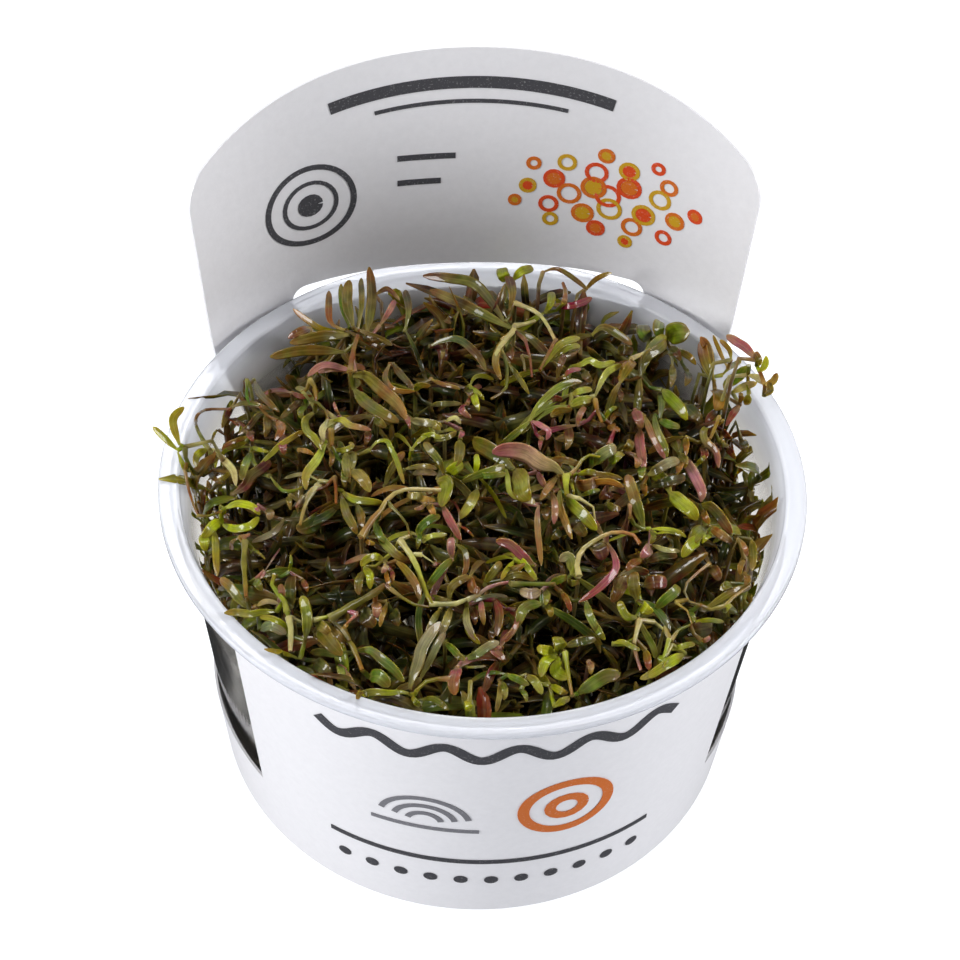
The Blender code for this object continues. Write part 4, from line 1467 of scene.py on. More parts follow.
# %% Leaves at the right edge
RIGHT_LEAVES = [
    ("crimson>pink", 11, (757, 360), (745, 348), (736, 342), (727, 335)),
    ("olive>brown", 8, (757, 366), (759, 360), (755, 352)),
    ("pale_green", 7, (722, 375), (730, 367), (741, 360)),
    ("orange", 5, (728, 368), (720, 352), (713, 335)),
    ("lime", 8, (760, 372), (765, 364), (766, 356)),
    ("peach>brown", 8, (765, 385), (773, 381), (777, 373)),
    ("cream", 8, (748, 375), (757, 378), (765, 385)),
    ("dark_olive", 8, (764, 396), (770, 390), (768, 382)),
    ("green", 13, (749, 365), (741, 374), (730, 382), (724, 389)),
    ("crimson", 8, (740, 405), (732, 415), (726, 426)),
    ("cream", 9, (732, 392), (745, 386), (757, 382)),
    ("yellow_green>orange", 9, (749, 394), (748, 400), (745, 405)),
    ("orange", 5, (741, 394), (742, 398), (739, 402)),
    ("orange>tan", 20, (715, 390), (720, 399), (715, 410)),
    ("brown>crimson", 10, (722, 410), (712, 416), (705, 422)),
    ("yellow_green>pink", 9, (712, 424), (704, 431), (706, 442), (716, 451), (719, 468)),
    ("green>lime", 14, (662, 390), (672, 399), (682, 410), (687, 420)),
    ("dark_green", 14, (685, 405), (695, 415), (702, 421)),
    ("green", 10, (660, 420), (669, 425), (680, 427)),
    ("pink>brown", 12, (635, 410), (639, 420), (642, 428)),
    ("crimson>pink", 12, (640, 429), (640, 440), (642, 454), (645, 470)),
    ("tan>pink", 9, (645, 417), (651, 432), (660, 450), (665, 459)),
    ("green", 8, (654, 415), (657, 430), (665, 447), (667, 457)),
    ("tan>orange", 8, (685, 437), (687, 447), (686, 456)),
    ("dark_olive", 9, (687, 371), (688, 379), (685, 386)),
    ("dark_green", 10, (741, 440), (745, 446), (746, 452)),
    ("olive>silver", 8, (720, 444), (725, 445), (729, 446)),
    ("wine", 8, (722, 430), (727, 435), (732, 439)),
    ("olive", 10, (679, 454), (685, 461), (684, 468)),
    ("crimson>brown", 10, (702, 447), (704, 454), (702, 462)),
    ("olive", 5, (696, 466), (701, 460), (706, 456)),
    ("tan", 7, (720, 442), (724, 444), (726, 447)),
    ("wine", 8, (727, 449), (732, 453), (735, 459)),
    ("lilac>pink", 12, (682, 457), (689, 466), (697, 480), (702, 492), (701, 502)),
    ("lime>yellow_green", 16, (670, 492), (680, 502), (692, 512), (696, 520)),
    ("orange", 9, (703, 512), (705, 516), (709, 524)),
    ("olive>yellow_green", 16, (706, 527), (696, 536), (690, 545)),
    ("olive>brown", 12, (700, 505), (711, 507), (720, 517), (732, 534)),
    ("orange>brown", 10, (710, 527), (721, 535), (732, 542)),
]

# %% Leaves in the middle, left
MIDDLE_LEFT_LEAVES = [
    ("olive>pale_green", 6, (331, 449), (344, 450), (352, 446), (349, 442)),
    ("olive>green", 10, (346, 452), (346, 470), (350, 482)),
    ("olive>pale_green", 14, (352, 470), (362, 479), (370, 492)),
    ("yellow_green", 9, (342, 491), (354, 499), (370, 501), (382, 502)),
    ("olive", 10, (342, 497), (347, 515), (354, 527), (357, 534)),
    ("olive", 10, (357, 505), (362, 520), (361, 530)),
    ("pink>cream", 6, (300, 505), (307, 500), (312, 490), (322, 485)),
    ("dark_green", 11, (337, 507), (325, 517), (307, 525), (300, 530)),
    ("cream>olive", 9, (425, 495), (416, 496), (407, 495)),
    ("yellow_green", 6, (370, 450), (377, 442), (387, 441), (391, 449), (397, 462), (404, 484)),
    ("brown>orange", 9, (385, 486), (390, 472), (397, 461), (404, 452)),
    ("olive", 10, (444, 474), (439, 462), (431, 452), (425, 442)),
    ("dark_green", 10, (410, 459), (420, 456), (430, 456)),
    ("olive", 6, (405, 469), (425, 466), (437, 469)),
    ("dark_green>silver", 8, (412, 474), (424, 472), (437, 474)),
    ("olive>yellow_green", 16, (437, 480), (447, 485), (441, 507)),
    ("peach", 8, (432, 493), (437, 490), (443, 491)),
    ("peach", 8, (419, 497), (427, 500), (435, 500)),
    ("pink", 5, (426, 505), (420, 508), (414, 509)),
    ("peach", 8, (428, 505), (432, 510), (434, 517)),
    ("pink>crimson", 9, (442, 505), (450, 520), (461, 540)),
    ("yellow_green", 6, (412, 449), (420, 440), (432, 434), (437, 437), (447, 436)),
    ("green", 9, (375, 522), (380, 536), (390, 544)),
    ("green", 10, (419, 539), (420, 529), (430, 520), (440, 516)),
    ("pale_green", 6, (424, 541), (432, 536), (447, 534)),
    ("pink", 9, (452, 559), (451, 546), (451, 537)),
    ("lime", 14, (449, 474), (455, 468), (463, 464)),
    ("orange", 6, (365, 540), (370, 543), (375, 544)),
    ("olive", 12, (460, 440), (459, 455), (456, 466)),
    ("lime", 7, (475, 474), (477, 464), (476, 454)),
    ("pink>orange", 4, (486, 471), (487, 468), (485, 466)),
    ("olive>green", 9, (459, 484), (475, 476), (492, 470), (505, 466)),
    ("green", 8, (475, 476), (490, 475), (506, 474)),
    ("olive>pale_green", 12, (477, 489), (471, 504), (460, 519)),
    ("crimson>brown", 3, (459, 525), (467, 530), (474, 537)),
]

# %% Leaves in the middle, right
MIDDLE_RIGHT_LEAVES = [
    ("cream>pink", 20, (564, 476), (555, 467), (542, 462), (527, 452), (510, 449), (492, 452)),
    ("pale_green", 6, (506, 468), (508, 480), (510, 492), (517, 500)),
    ("olive>yellow_green", 22, (515, 470), (522, 482), (524, 494), (530, 500)),
    ("lilac>cream", 9, (520, 497), (528, 500), (535, 503)),
    ("pink", 8, (537, 472), (544, 484), (547, 489)),
    ("orange", 8, (557, 477), (547, 490), (540, 500)),
    ("orange>brown", 9, (550, 459), (565, 461), (581, 465)),
    ("lime>olive", 7, (577, 475), (589, 472), (600, 475)),
    ("orange>brown", 14, (575, 484), (587, 485), (600, 480)),
    ("green", 5, (580, 496), (590, 492), (600, 490)),
    ("yellow_green", 4, (570, 480), (573, 488), (574, 496)),
    ("olive>tan", 9, (560, 489), (560, 505), (566, 522), (572, 539)),
    ("green>lime", 14, (566, 497), (575, 507), (586, 517), (597, 530)),
    ("pink>tan", 7, (539, 505), (537, 522), (541, 566)),
    ("crimson>pink", 8, (552, 492), (555, 507), (554, 524)),
    ("brown", 10, (544, 507), (546, 512), (546, 520)),
    ("dark_green", 9, (559, 529), (557, 535), (552, 539)),
    ("brown", 14, (577, 524), (581, 530), (585, 536)),
    ("crimson>pink", 5, (542, 439), (540, 443), (540, 450)),
    ("green>silver", 14, (591, 466), (600, 456), (610, 450), (616, 449)),
    ("green>lime", 12, (611, 461), (616, 458), (622, 453)),
    ("olive", 10, (624, 451), (629, 446), (631, 440)),
    ("pink>tan", 9, (636, 456), (638, 462), (636, 468)),
    ("green", 10, (641, 467), (642, 472), (640, 480)),
    ("olive>silver", 12, (647, 476), (657, 470), (667, 464), (679, 460)),
    ("tan>orange", 10, (680, 460), (680, 467), (677, 474)),
    ("dark_green", 12, (650, 486), (667, 482), (685, 477)),
    ("green>orange", 13, (644, 529), (640, 515), (635, 500), (631, 486), (627, 475)),
    ("orange", 8, (642, 486), (645, 489), (645, 496)),
    ("orange>olive", 7, (580, 471), (592, 474), (610, 476), (622, 479)),
    ("orange>peach", 8, (580, 484), (596, 482), (609, 481), (624, 487)),
    ("wine", 16, (610, 489), (606, 493), (600, 499)),
    ("olive>brown", 8, (607, 504), (614, 508), (621, 509)),
    ("lime", 5, (650, 529), (665, 529), (677, 531), (686, 537)),
    ("olive", 7, (651, 530), (653, 537), (650, 544)),
    ("pink>crimson", 12, (534, 565), (522, 555), (510, 544), (496, 541)),
    ("lime", 7, (514, 559), (522, 561), (530, 571), (537, 580)),
    ("lime>tan", 6, (514, 561), (506, 571), (501, 580)),
    ("olive", 10, (484, 584), (494, 571), (501, 562)),
    ("olive>orange", 8, (501, 581), (512, 576), (522, 575), (535, 580)),
    ("pale_green>silver", 12, (572, 574), (572, 562), (567, 556), (560, 561)),
    ("pink>crimson", 9, (606, 541), (615, 557), (616, 570), (607, 581), (595, 592), (579, 602)),
    ("wine", 12, (616, 580), (617, 590), (614, 600)),
    ("wine", 20, (595, 546), (600, 551), (603, 560)),
]

# %% Leaves in front, left
FRONT_LEFT_LEAVES = [
    ("lime", 12, (205, 535), (204, 542), (206, 551)),
    ("green>orange", 11, (250, 609), (240, 600), (230, 586), (220, 579)),
    ("lime>brown", 9, (277, 611), (262, 612), (250, 614), (236, 612), (224, 613)),
    ("yellow_green", 7, (289, 635), (284, 625), (272, 619), (260, 617)),
    ("pink>crimson", 8, (280, 598), (282, 592), (280, 584)),
    ("green", 4, (289, 572), (291, 563), (291, 555)),
    ("dark_olive", 14, (292, 607), (291, 590), (292, 575)),
    ("crimson>brown", 7, (302, 580), (306, 586), (307, 592)),
    ("olive>yellow_green", 12, (305, 640), (307, 625), (306, 610), (302, 596)),
    ("tan>silver", 6, (257, 606), (267, 601), (279, 604)),
    ("green", 10, (255, 580), (258, 584), (262, 591)),
    ("green>silver", 12, (260, 630), (272, 626), (286, 634)),
    ("olive", 12, (317, 624), (324, 628), (330, 634)),
    ("olive", 3, (252, 549), (259, 553), (265, 559)),
    ("pink", 3, (265, 571), (263, 576), (260, 579)),
    ("lime>yellow_green", 9, (384, 560), (375, 557), (366, 560), (361, 566)),
    ("lime", 9, (364, 567), (370, 576), (370, 589)),
    ("olive", 10, (364, 571), (359, 582), (359, 595)),
    ("olive", 12, (320, 621), (335, 634), (345, 642)),
    ("cream>pink", 7, (387, 564), (385, 568), (382, 573)),
    ("crimson", 6, (391, 571), (393, 577), (392, 584)),
    ("tan>orange", 6, (385, 571), (388, 580), (390, 589)),
    ("peach>pink", 11, (375, 602), (377, 609), (376, 618)),
    ("orange>tan", 6, (387, 602), (382, 617), (380, 627)),
    ("green>olive", 10, (376, 530), (384, 542), (397, 555), (407, 559)),
    ("tan>brown", 10, (396, 561), (407, 571), (417, 586), (420, 600)),
    ("green", 9, (427, 589), (430, 584), (441, 570), (452, 559)),
    ("olive>brown", 7, (455, 544), (465, 552), (466, 567), (462, 577)),
    ("cream>lime", 6, (422, 537), (432, 536), (446, 535)),
    ("green", 6, (420, 530), (419, 540), (417, 549)),
    ("olive>green", 10, (449, 600), (452, 587), (461, 580), (470, 577)),
    ("orange>brown", 11, (470, 577), (474, 589), (480, 590)),
    ("olive>silver", 8, (440, 610), (432, 622), (426, 636)),
    ("tan>silver", 9, (451, 607), (446, 622), (440, 637)),
    ("dark_green", 20, (362, 612), (368, 618), (374, 627)),
    ("dark_green", 16, (392, 612), (396, 618), (398, 626)),
    ("olive>silver", 8, (467, 605), (467, 622), (475, 640)),
    ("yellow_green>orange", 6, (300, 659), (286, 654), (275, 651), (264, 649)),
    ("olive", 16, (317, 626), (330, 642), (342, 655)),
    ("tan", 4, (349, 622), (346, 626), (341, 630)),
    ("green", 11, (356, 652), (370, 650), (382, 659), (394, 670), (404, 682)),
    ("green", 16, (369, 677), (380, 677), (389, 687)),
    ("green", 10, (339, 665), (341, 673), (339, 681)),
    ("dark_green", 16, (315, 661), (323, 668), (330, 677)),
    ("pink>tan", 6, (345, 670), (350, 679), (356, 690)),
    ("lime>brown", 8, (411, 694), (402, 692), (390, 693), (374, 692), (361, 695), (356, 699)),
    ("wine", 6, (267, 638), (270, 641), (275, 643)),
    ("brown", 12, (315, 632), (320, 636), (324, 643)),
]

# %% Leaves in front, right
FRONT_RIGHT_LEAVES = [
    ("green", 9, (550, 584), (560, 579), (567, 577)),
    ("green", 8, (567, 580), (573, 583), (579, 582)),
    ("lilac>silver", 12, (541, 591), (530, 594), (520, 590)),
    ("olive>yellow_green", 8, (545, 590), (547, 597), (545, 605)),
    ("green", 12, (542, 604), (530, 605), (522, 612), (519, 625)),
    ("olive>tan", 8, (546, 605), (550, 611), (551, 617)),
    ("orange>crimson", 7, (561, 592), (567, 600), (571, 611)),
    ("green", 9, (586, 601), (590, 617), (601, 636)),
    ("pink>tan", 7, (481, 600), (482, 611), (484, 625)),
    ("brown", 9, (471, 607), (475, 615), (475, 625)),
    ("crimson>brown", 10, (495, 600), (500, 615), (497, 636)),
    ("crimson", 6, (516, 610), (517, 622), (512, 632), (501, 641)),
    ("lilac>pink", 13, (650, 547), (646, 552), (641, 558)),
    ("orange>brown", 10, (641, 559), (632, 565), (625, 571)),
    ("wine", 14, (625, 576), (619, 589), (612, 602)),
    ("dark_olive", 12, (645, 562), (662, 556), (677, 555)),
    ("lime", 4, (655, 534), (670, 532), (682, 536)),
    ("cream", 6, (652, 545), (665, 550), (680, 551)),
    ("lime>yellow_green", 14, (700, 539), (690, 545), (682, 557)),
    ("lime", 8, (710, 535), (706, 538), (702, 543)),
    ("tan>crimson", 7, (736, 537), (745, 549), (747, 556)),
    ("tan>orange", 7, (745, 560), (740, 567), (740, 575)),
    ("olive", 10, (751, 540), (754, 555), (752, 571)),
    ("orange", 8, (745, 574), (747, 579), (745, 586)),
    ("green", 14, (637, 600), (634, 585), (634, 572)),
    ("green", 12, (654, 610), (664, 600), (675, 591), (677, 585)),
    ("lime", 14, (642, 605), (646, 609), (652, 613)),
    ("green>lime", 9, (637, 617), (627, 617), (621, 607), (620, 601)),
    ("dark_olive>crimson", 16, (644, 585), (656, 582), (667, 583)),
    ("wine>brown", 12, (710, 566), (716, 573), (720, 580)),
    ("tan>olive", 9, (704, 610), (719, 600), (735, 591), (750, 587)),
    ("green>olive", 10, (731, 584), (726, 586), (720, 590)),
    ("green", 6, (690, 612), (693, 616), (696, 620)),
    ("lime>green", 6, (695, 622), (707, 620), (724, 622)),
    ("lime", 6, (725, 611), (728, 607), (732, 605)),
    ("brown>dark_green", 18, (690, 630), (700, 629), (712, 626)),
    ("orange>pink", 6, (702, 641), (706, 640), (710, 637)),
    ("olive>silver", 14, (410, 690), (412, 680), (419, 662), (422, 650), (430, 636), (440, 622)),
    ("olive>silver", 9, (420, 679), (429, 661), (437, 645), (445, 632)),
    ("green", 8, (445, 642), (452, 649), (460, 657), (465, 659)),
    ("green>silver", 10, (465, 658), (476, 655), (489, 646), (499, 642)),
    ("pink>orange", 14, (457, 668), (456, 674), (454, 682), (455, 695)),
    ("yellow_green", 7, (420, 706), (416, 702), (412, 697)),
    ("olive>green", 7, (421, 700), (432, 699), (442, 705), (449, 710)),
    ("lime", 9, (469, 710), (468, 706), (466, 701)),
    ("crimson", 6, (519, 620), (514, 630), (505, 642)),
    ("pink>crimson", 12, (501, 647), (495, 652), (505, 659)),
    ("brown>crimson", 11, (499, 661), (490, 675), (484, 692)),
    ("green>silver", 3, (465, 667), (476, 667), (486, 666)),
    ("orange>brown", 6, (500, 680), (499, 697), (496, 712)),
    ("olive", 8, (502, 682), (505, 691), (504, 700)),
    ("green", 8, (507, 675), (517, 679), (529, 685)),
    ("olive>yellow_green", 8, (466, 620), (470, 632), (480, 644)),
    ("brown", 10, (495, 627), (493, 633), (490, 640)),
    ("olive>yellow_green", 16, (560, 651), (559, 644), (556, 637)),
    ("lime", 12, (553, 652), (545, 650), (537, 648)),
    ("lime", 12, (556, 656), (546, 662), (541, 677)),
    ("lime", 14, (558, 660), (557, 672), (569, 678)),
    ("pale_green", 10, (527, 675), (535, 682), (542, 694)),
    ("lime>orange", 9, (550, 685), (562, 691), (567, 694)),
    ("green", 6, (521, 690), (525, 695), (527, 701)),
    ("green", 16, (577, 694), (590, 685), (605, 676), (620, 675)),
    ("lime>green", 8, (555, 706), (564, 700), (570, 699)),
    ("dark_green", 10, (565, 646), (580, 642), (596, 639)),
    ("green", 9, (592, 620), (600, 632), (605, 640)),
    ("lime>green", 6, (612, 644), (622, 642), (632, 647), (640, 650)),
    ("pink>tan", 8, (589, 662), (591, 667), (590, 674)),
    ("orange>crimson", 9, (645, 650), (648, 660), (649, 670)),
    ("olive>yellow_green", 8, (655, 670), (648, 675), (640, 679)),
    ("lime>green", 14, (666, 656), (663, 661), (659, 669)),
    ("lime>yellow_green", 12, (685, 654), (672, 661), (660, 670), (647, 677)),
    ("lime>green", 7, (670, 650), (685, 646), (695, 644)),
]

# %% Bare stems in sight, over the whole mat
TOP_STEMS = [
    ("dark_olive", 6, (185, 447), (187, 462), (200, 476), (213, 470)),
    ("orange", 4, (185, 470), (190, 495), (198, 515)),
    ("green>crimson", 5, (210, 450), (201, 436), (196, 426), (197, 416), (205, 410), (215, 409), (231, 409)),
    ("green", 4, (247, 380), (248, 402), (260, 406)),
    ("olive", 4, (303, 392), (310, 400), (321, 405), (326, 411), (328, 419)),
    ("tan>orange", 6, (310, 380), (315, 388), (316, 402)),
    ("orange", 7, (350, 372), (353, 352), (358, 335)),
    ("cream", 7, (514, 330), (503, 343), (496, 355), (500, 377)),
    ("cream", 6, (514, 326), (525, 324), (535, 321)),
    ("cream", 6, (515, 303), (540, 315), (555, 340)),
    ("orange", 7, (564, 303), (566, 292), (563, 283)),
    ("crimson", 4, (525, 340), (530, 358), (532, 377)),
    ("olive", 5, (501, 350), (506, 361), (507, 376), (505, 390), (491, 399)),
    ("olive>silver", 4, (522, 356), (524, 363), (525, 371)),
    ("orange", 5, (556, 340), (550, 350), (544, 362), (540, 370)),
    ("tan", 6, (595, 400), (597, 410), (602, 422)),
    ("crimson", 6, (609, 445), (612, 438), (614, 431)),
    ("cream", 6, (631, 359), (640, 355), (650, 349)),
    ("tan", 5, (719, 417), (714, 430), (710, 439)),
    ("olive", 4, (197, 516), (210, 516), (220, 512)),
    ("silver>pink", 7, (304, 497), (300, 501), (296, 507)),
    ("silver>tan", 6, (314, 490), (305, 505), (300, 525)),
    ("cream", 5, (324, 430), (322, 438), (322, 445)),
    ("orange", 7, (331, 430), (332, 438), (332, 446)),
    ("orange", 5, (335, 477), (336, 489), (336, 504)),
    ("orange>cream", 8, (361, 537), (370, 522), (380, 511), (387, 500), (397, 492), (410, 489), (441, 490)),
    ("olive", 4, (392, 507), (400, 515), (406, 522), (410, 536)),
    ("orange>lime", 5, (571, 474), (579, 465), (584, 457), (592, 455), (600, 457)),
    ("lime", 8, (566, 476), (566, 486), (567, 495)),
    ("cream", 4, (580, 499), (590, 504), (596, 512), (595, 520)),
    ("pink>tan", 4, (630, 505), (631, 511), (630, 517)),
    ("cream>peach", 7, (579, 576), (577, 562), (582, 550), (595, 540), (607, 534), (617, 532), (632, 534), (640, 544)),
    ("olive>tan", 7, (245, 541), (244, 561), (245, 580), (246, 597)),
    ("cream", 8, (289, 617), (291, 632), (290, 651)),
    ("yellow_green", 7, (287, 612), (284, 600), (277, 592), (270, 581), (274, 575)),
    ("cream>lime", 6, (314, 620), (320, 616), (327, 617), (340, 610)),
    ("olive", 11, (329, 619), (345, 610), (361, 601), (376, 592), (385, 585)),
    ("olive", 8, (343, 630), (347, 635), (350, 641)),
    ("pink>tan", 4, (357, 614), (351, 620), (344, 626)),
    ("orange>olive", 5, (391, 589), (400, 596), (412, 604), (429, 607)),
    ("cream>lime", 8, (400, 540), (410, 554), (417, 567), (422, 582), (429, 600), (432, 604)),
    ("cream", 7, (429, 604), (440, 604), (452, 605), (465, 600), (480, 595)),
    ("cream", 2, (422, 555), (429, 559), (435, 564)),
    ("silver>pink", 6, (467, 600), (479, 594), (491, 586), (510, 582)),
    ("olive>green", 7, (511, 584), (525, 584), (540, 584), (554, 584)),
    ("cream", 6, (640, 620), (637, 630), (634, 644)),
    ("orange>silver", 4, (709, 564), (695, 575), (685, 586), (687, 600), (700, 605)),
    ("tan", 5, (725, 606), (735, 596), (750, 585)),
    ("tan>green", 5, (671, 640), (677, 631), (690, 625)),
    ("tan", 3, (675, 602), (686, 609), (692, 624)),
    ("cream", 4, (654, 622), (664, 630), (669, 640)),
    ("olive>tan", 8, (336, 627), (345, 635), (355, 651), (362, 670)),
    ("crimson>yellow_green", 7, (450, 679), (440, 679), (427, 681), (417, 690)),
    ("lime>orange", 6, (565, 652), (567, 667), (569, 679), (572, 695)),
    ("tan>pink", 6, (639, 620), (635, 639), (634, 649), (641, 670)),
    ("pale_green", 5, (669, 639), (664, 657), (657, 670)),
    ("cream", 4, (672, 644), (667, 654), (662, 662)),
]

# %% [markdown]
# A traced pixel only gives a direction. The leaf lies where that sight line
# meets the mat, a little lower at its base than in its middle. Where the line
# would meet the wall, the leaf hangs over the rim or stands up before the header.

# %% From a pixel to a place on the mat
RIM_LIFT = 1.0 * MM
STANDING_RADIUS = 37.0 * MM
STANDING_MOST = 13.0 * MM
STANDING_FROM = 20.0 * MM
place_random = np.random.default_rng(21)


def at_height(pixel, height):
    line = sight_line(*pixel)
    return CAMERA_AT + line * ((height - CAMERA_AT.z) / line.z)


def on_mat(pixel, lift):
    point = at_height(pixel, CUP_HEIGHT)
    for attempt in range(3):
        point = at_height(pixel, canopy(point.x, point.y) + lift)
    if math.hypot(point.x, point.y) < inner_wall(point.z) - WALL_ROOM:
        return point
    height = CUP_HEIGHT + RIM_LIFT
    point = at_height(pixel, height)
    most = height + STANDING_MOST * min(1.0, max(0.0, point.y / STANDING_FROM))
    while math.hypot(point.x, point.y) > STANDING_RADIUS and height < most:
        height += 0.25 * MM
        point = at_height(pixel, height)
    return point


def split_tone(tone, count):
    """Colours along a shoot, from its base tone to its tip tone."""
    base, _, tip = tone.partition(">")
    first, last = np.array(linear(TONES[base])), np.array(linear(TONES[tip or base]))
    return [tuple(first + (last - first) * i / (count - 1)) for i in range(count)]


def leaf_faces(points, turn_angle):
    """Which way the leaf's face looks at each point: at the camera, turned about the leaf."""
    faces = []
    for i, point in enumerate(points):
        ahead = (points[min(i + 1, len(points) - 1)] - points[max(i - 1, 0)]).normalized()
        towards = (CAMERA_AT - point).normalized()
        side = ahead.cross(towards).normalized()
        faces.append(side.cross(ahead) * math.cos(turn_angle) + side * math.sin(turn_angle))
    return faces


# %% Laying the traced shoots
BASE_SINK = 1.6 * MM
ARCH = 0.9 * MM
DEEP_LIFT = -1.6 * MM
ROOT_RADIUS = 34.0 * MM


def add_root(guides, point, half_width, colour):
    """The rest of the stem, which runs back from the leaf's base and down into the gel."""
    away = (point - CAMERA_AT).normalized()
    first = point + away * 3.5 * MM
    reach = math.hypot(point.x, point.y)
    if reach > ROOT_RADIUS:
        inward = 1 - ROOT_RADIUS / reach
        first = Vector((point.x * (1 - inward), point.y * (1 - inward), max(point.z, CUP_HEIGHT + MM)))
    points = [point + away * 0.3 * MM, first]
    for height, pull in ((34 * MM, 0.97), (18 * MM, 0.93), (6 * MM, 0.9)):
        points.append(Vector((first.x * pull, min(first.y, 30 * MM) * pull, height)))
    for root_point in points[2:]:
        reach = max(ROOT_RADIUS, math.hypot(root_point.x, root_point.y))
        root_point.x, root_point.y = root_point.x * ROOT_RADIUS / reach, root_point.y * ROOT_RADIUS / reach
    # The root's lower points are darkened: painted shade down in the mat.
    dark = tuple(0.45 * part for part in colour)
    guides.add(ROOT, points, [half_width] * 5, [colour, dark, dark, dark, dark])


JOIN_FROM, JOIN_WITHIN = 0.6 * MM, 3.5 * MM
LINK_SAG = 0.25
joints = []


def join_or_root(guides, point, half_width, colour):
    """The leaf's base joins a shoot that already stands near it, or else gets a root of its own."""
    distances = [(joint - point).length for joint in joints]
    nearest = min(distances, default=JOIN_WITHIN)
    if nearest >= JOIN_WITHIN:
        add_root(guides, point, half_width, colour)
    elif nearest > JOIN_FROM:
        joint = joints[distances.index(nearest)]
        middle = (point + joint) / 2 - Vector((0.0, 0.0, LINK_SAG * nearest))
        # The link is darkened: painted shade under the leaves.
        dim = tuple(0.7 * part for part in colour)
        guides.add(STEM, [point, middle, joint], [half_width] * 3, [colour, dim, dim])


# %% Which piece a traced shoot belongs to
SPRIG_PLACES = {
    "sprig_left_overhang": (150, 190, 415, 480),
    "sprig_left_hook": (191, 234, 403, 455),
    "sprig_back_fan": (305, 370, 320, 380),
    "sprig_back_long": (500, 518, 318, 335),
    "sprig_back_round": (503, 518, 270, 315),
    "sprig_back_red": (540, 570, 270, 318),
    "sprig_right_round": (638, 672, 325, 380),
    "sprig_right_overhang": (745, 772, 355, 400),
}


def piece_at(pixel, point):
    """The single shoot whose left, right, upper and lower pixel bounds hold the base, or else the tuft."""
    for name, (left, right, upper, lower) in SPRIG_PLACES.items():
        if left <= pixel[0] <= right and upper <= pixel[1] <= lower:
            return pieces[name]
    return pieces[tuft_at(point.x, point.y)]


# %% Laying the shoots
COMPANION_LENGTH = (4.0 * MM, 8.5 * MM)
COMPANION_LOW = 1.2 * MM
COMPANION_SHARE = 0.4
LEAF_NARROWING = 0.92
STEM_NARROWING, STEM_TAPER = 0.88, 0.35
pair_random = np.random.default_rng(33)


def add_companion(guides, base, ahead, half_width, colours):
    """The other leaf of the pair: from the same node to the other side, shorter and a little lower."""
    swing = math.pi + pair_random.uniform(-1.3, 1.3)
    flat = Vector((ahead.x, ahead.y, 0.0)).normalized()
    away = Matrix.Rotation(swing, 3, "Z") @ flat
    length = pair_random.uniform(*COMPANION_LENGTH)
    bend = Matrix.Rotation(pair_random.uniform(-0.9, 0.9), 3, "Z") @ away
    rise = pair_random.uniform(-0.3, 0.9)
    points = []
    for share in even(0.0, 1.0, 4):
        place = base + (away * (1 - share / 2) + bend * share / 2) * length * share
        place.z += (rise * share - 0.9 * share * share) * 0.5 * length - COMPANION_LOW * share
        reach = math.hypot(place.x, place.y)
        if reach > ROOT_RADIUS:
            place.x, place.y = place.x * ROOT_RADIUS / reach, place.y * ROOT_RADIUS / reach
        points.append(place)
    # Its colour is darkened: painted shade, as it lies lower than its partner.
    dim = [tuple(0.75 * part for part in colour) for colour in split_tone_of(colours, len(points))]
    faces = leaf_faces(points, pair_random.uniform(-0.8, 0.8))
    guides.add(LEAF, points, [half_width] * len(points), dim, faces, pair_random.uniform(0.0, 0.8))


def split_tone_of(colours, count):
    """The same run of colours over another number of points."""
    first, last = np.array(colours[0]), np.array(colours[-1])
    return [tuple(first + (last - first) * share) for share in even(0.0, 1.0, count)]


def lay_shoot(kind, tone, width, pixels):
    deep = tone.split(">")[0] in DEEP_AND_SHADED_TONES
    level = place_random.uniform(-0.5, 0.5) * MM + (DEEP_LIFT if deep else 0.0)
    count = len(pixels)
    points = []
    for i, pixel in enumerate(pixels):
        along = i / (count - 1)
        lift = level - BASE_SINK * (1 - along) ** 2 + ARCH * math.sin(math.pi * along)
        points.append(on_mat(pixel, lift if kind == LEAF else level + 0.3 * MM))
    half = pixels_to_metres(points[0], width / 2) * (LEAF_NARROWING if kind == LEAF else STEM_NARROWING)
    taper = STEM_TAPER if kind == STEM else 0.0
    half_widths = [half * (1 - taper * share) for share in even(0.0, 1.0, count)]
    colours = split_tone(tone, count)
    guides = piece_at(pixels[0], points[0])
    turn_angle = place_random.uniform(-0.45, 0.45)
    roundness = 1.0 if width >= 12 else place_random.uniform(0.0, 0.5)
    guides.add(kind, points, half_widths, colours, leaf_faces(points, turn_angle), roundness)
    join_or_root(guides, points[0], 0.28 * MM, colours[0])
    joints.extend(points if kind == STEM else points[:1])
    inside = math.hypot(points[0].x, points[0].y) < ROOT_RADIUS
    if kind == LEAF and inside and pair_random.uniform() < COMPANION_SHARE:
        add_companion(guides, points[0], points[-1] - points[0], 0.9 * half, colours)


leaf_rows = LEFT_LEAVES + BACK_LEFT_LEAVES + BACK_RIGHT_LEAVES + RIGHT_LEAVES
leaf_rows += MIDDLE_LEFT_LEAVES + MIDDLE_RIGHT_LEAVES + FRONT_LEFT_LEAVES + FRONT_RIGHT_LEAVES
for tone, width, *pixels in TOP_STEMS:
    lay_shoot(STEM, tone, width, pixels)
for tone, width, *pixels in leaf_rows:
    lay_shoot(LEAF, tone, width, pixels)
print("traced leaves:", len(leaf_rows), "and stems:", len(TOP_STEMS))

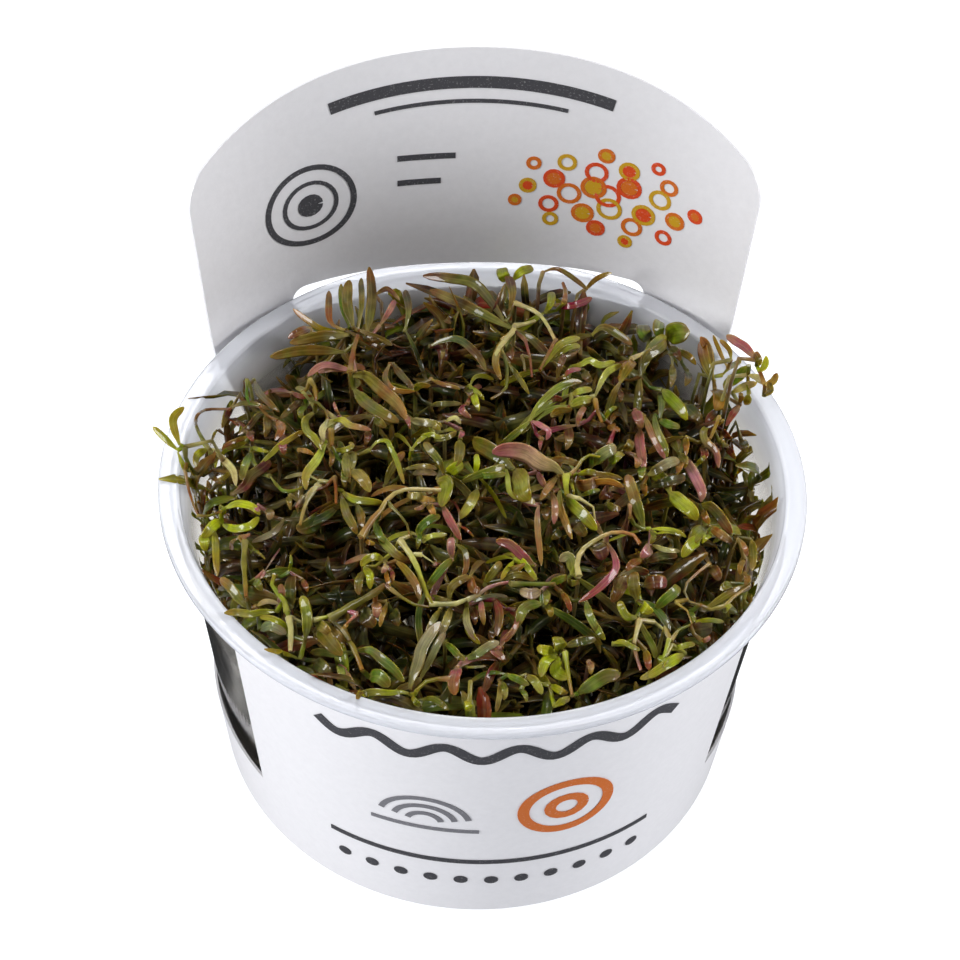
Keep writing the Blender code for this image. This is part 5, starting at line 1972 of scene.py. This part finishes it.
# %% Grow every piece of the mat
mat_triangles = {}
for name, guides in pieces.items():
    values = {"Rings": 15, "Material": leaf_finish, "Leaf Shapes": leaf_shapes}
    mesh = run_tree(shoot_tree, guides.mesh("guide"), values, name)
    add_piece(name, mesh, None, [name])
    mat_triangles[name] = sum(len(polygon.vertices) - 2 for polygon in mesh.polygons)
for shape in list(leaf_shapes.objects):
    bpy.data.objects.remove(shape)
bpy.data.collections.remove(leaf_shapes)
print("triangles of the mat:", sum(mat_triangles.values()), "most in one piece:", max(mat_triangles.values()))
print("least in one piece:", min(mat_triangles.values()))

# %% [markdown]
# A white floor, a pale sky and soft lamps: the picture is lit as in a studio,
# brighter from the left, so that the wrap shades from left to right.

# %% Floor, sky and lamps
bpy.context.scene.view_settings.view_transform = "Standard"
floor_finish, floor_tree, floor_shader = start_material(
    "pale floor",
    Base_Color=(0.25, 0.25, 0.25, 1.0),
    Roughness=0.9,
    Emission_Color=(0.94, 0.96, 1.0, 1.0),
    Emission_Strength=1.05,
)
floor_mesh = bpy.data.meshes.new("floor")
FLOOR_HALF = 3.0
floor_mesh.from_pydata(
    [(-FLOOR_HALF, -FLOOR_HALF, 0), (FLOOR_HALF, -FLOOR_HALF, 0), (FLOOR_HALF, FLOOR_HALF, 0), (-FLOOR_HALF, FLOOR_HALF, 0)],
    [],
    [(0, 1, 2, 3)],
)
floor_mesh.materials.append(floor_finish)
floor = bpy.data.objects.new("floor", floor_mesh)
floor.location.z = -0.05 * MM
bpy.context.scene.collection.objects.link(floor)
floor.visible_glossy = False

world = bpy.data.worlds.new("sky")
world.use_nodes = True
world.node_tree.nodes["Background"].inputs["Color"].default_value = (0.96, 0.97, 1.0, 1.0)
world.node_tree.nodes["Background"].inputs["Strength"].default_value = 0.04
bpy.context.scene.world = world


def add_lamp(name, place, size, power, colour=(1.0, 1.0, 1.0)):
    """A square soft lamp, in metres, aimed at the rim."""
    lamp_data = bpy.data.lights.new(name, "AREA")
    lamp_data.shape = "SQUARE"
    lamp_data.size = size
    lamp_data.energy = power
    lamp_data.color = colour
    lamp = bpy.data.objects.new(name, lamp_data)
    lamp.location = place
    aim = Vector((0, 0, CUP_HEIGHT)) - Vector(place)
    lamp.rotation_euler = aim.to_track_quat("-Z", "Y").to_euler()
    bpy.context.scene.collection.objects.link(lamp)


add_lamp("left box", (-0.57, -0.16, 0.3), 0.25, 3.5)
add_lamp("right box", (0.57, -0.08, 0.3), 0.25, 3.0)
add_lamp("top box", (-0.05, -0.1, 0.8), 0.2, 1.6)
add_lamp("back box", (0.0, 0.5, 0.5), 0.25, 2.1)
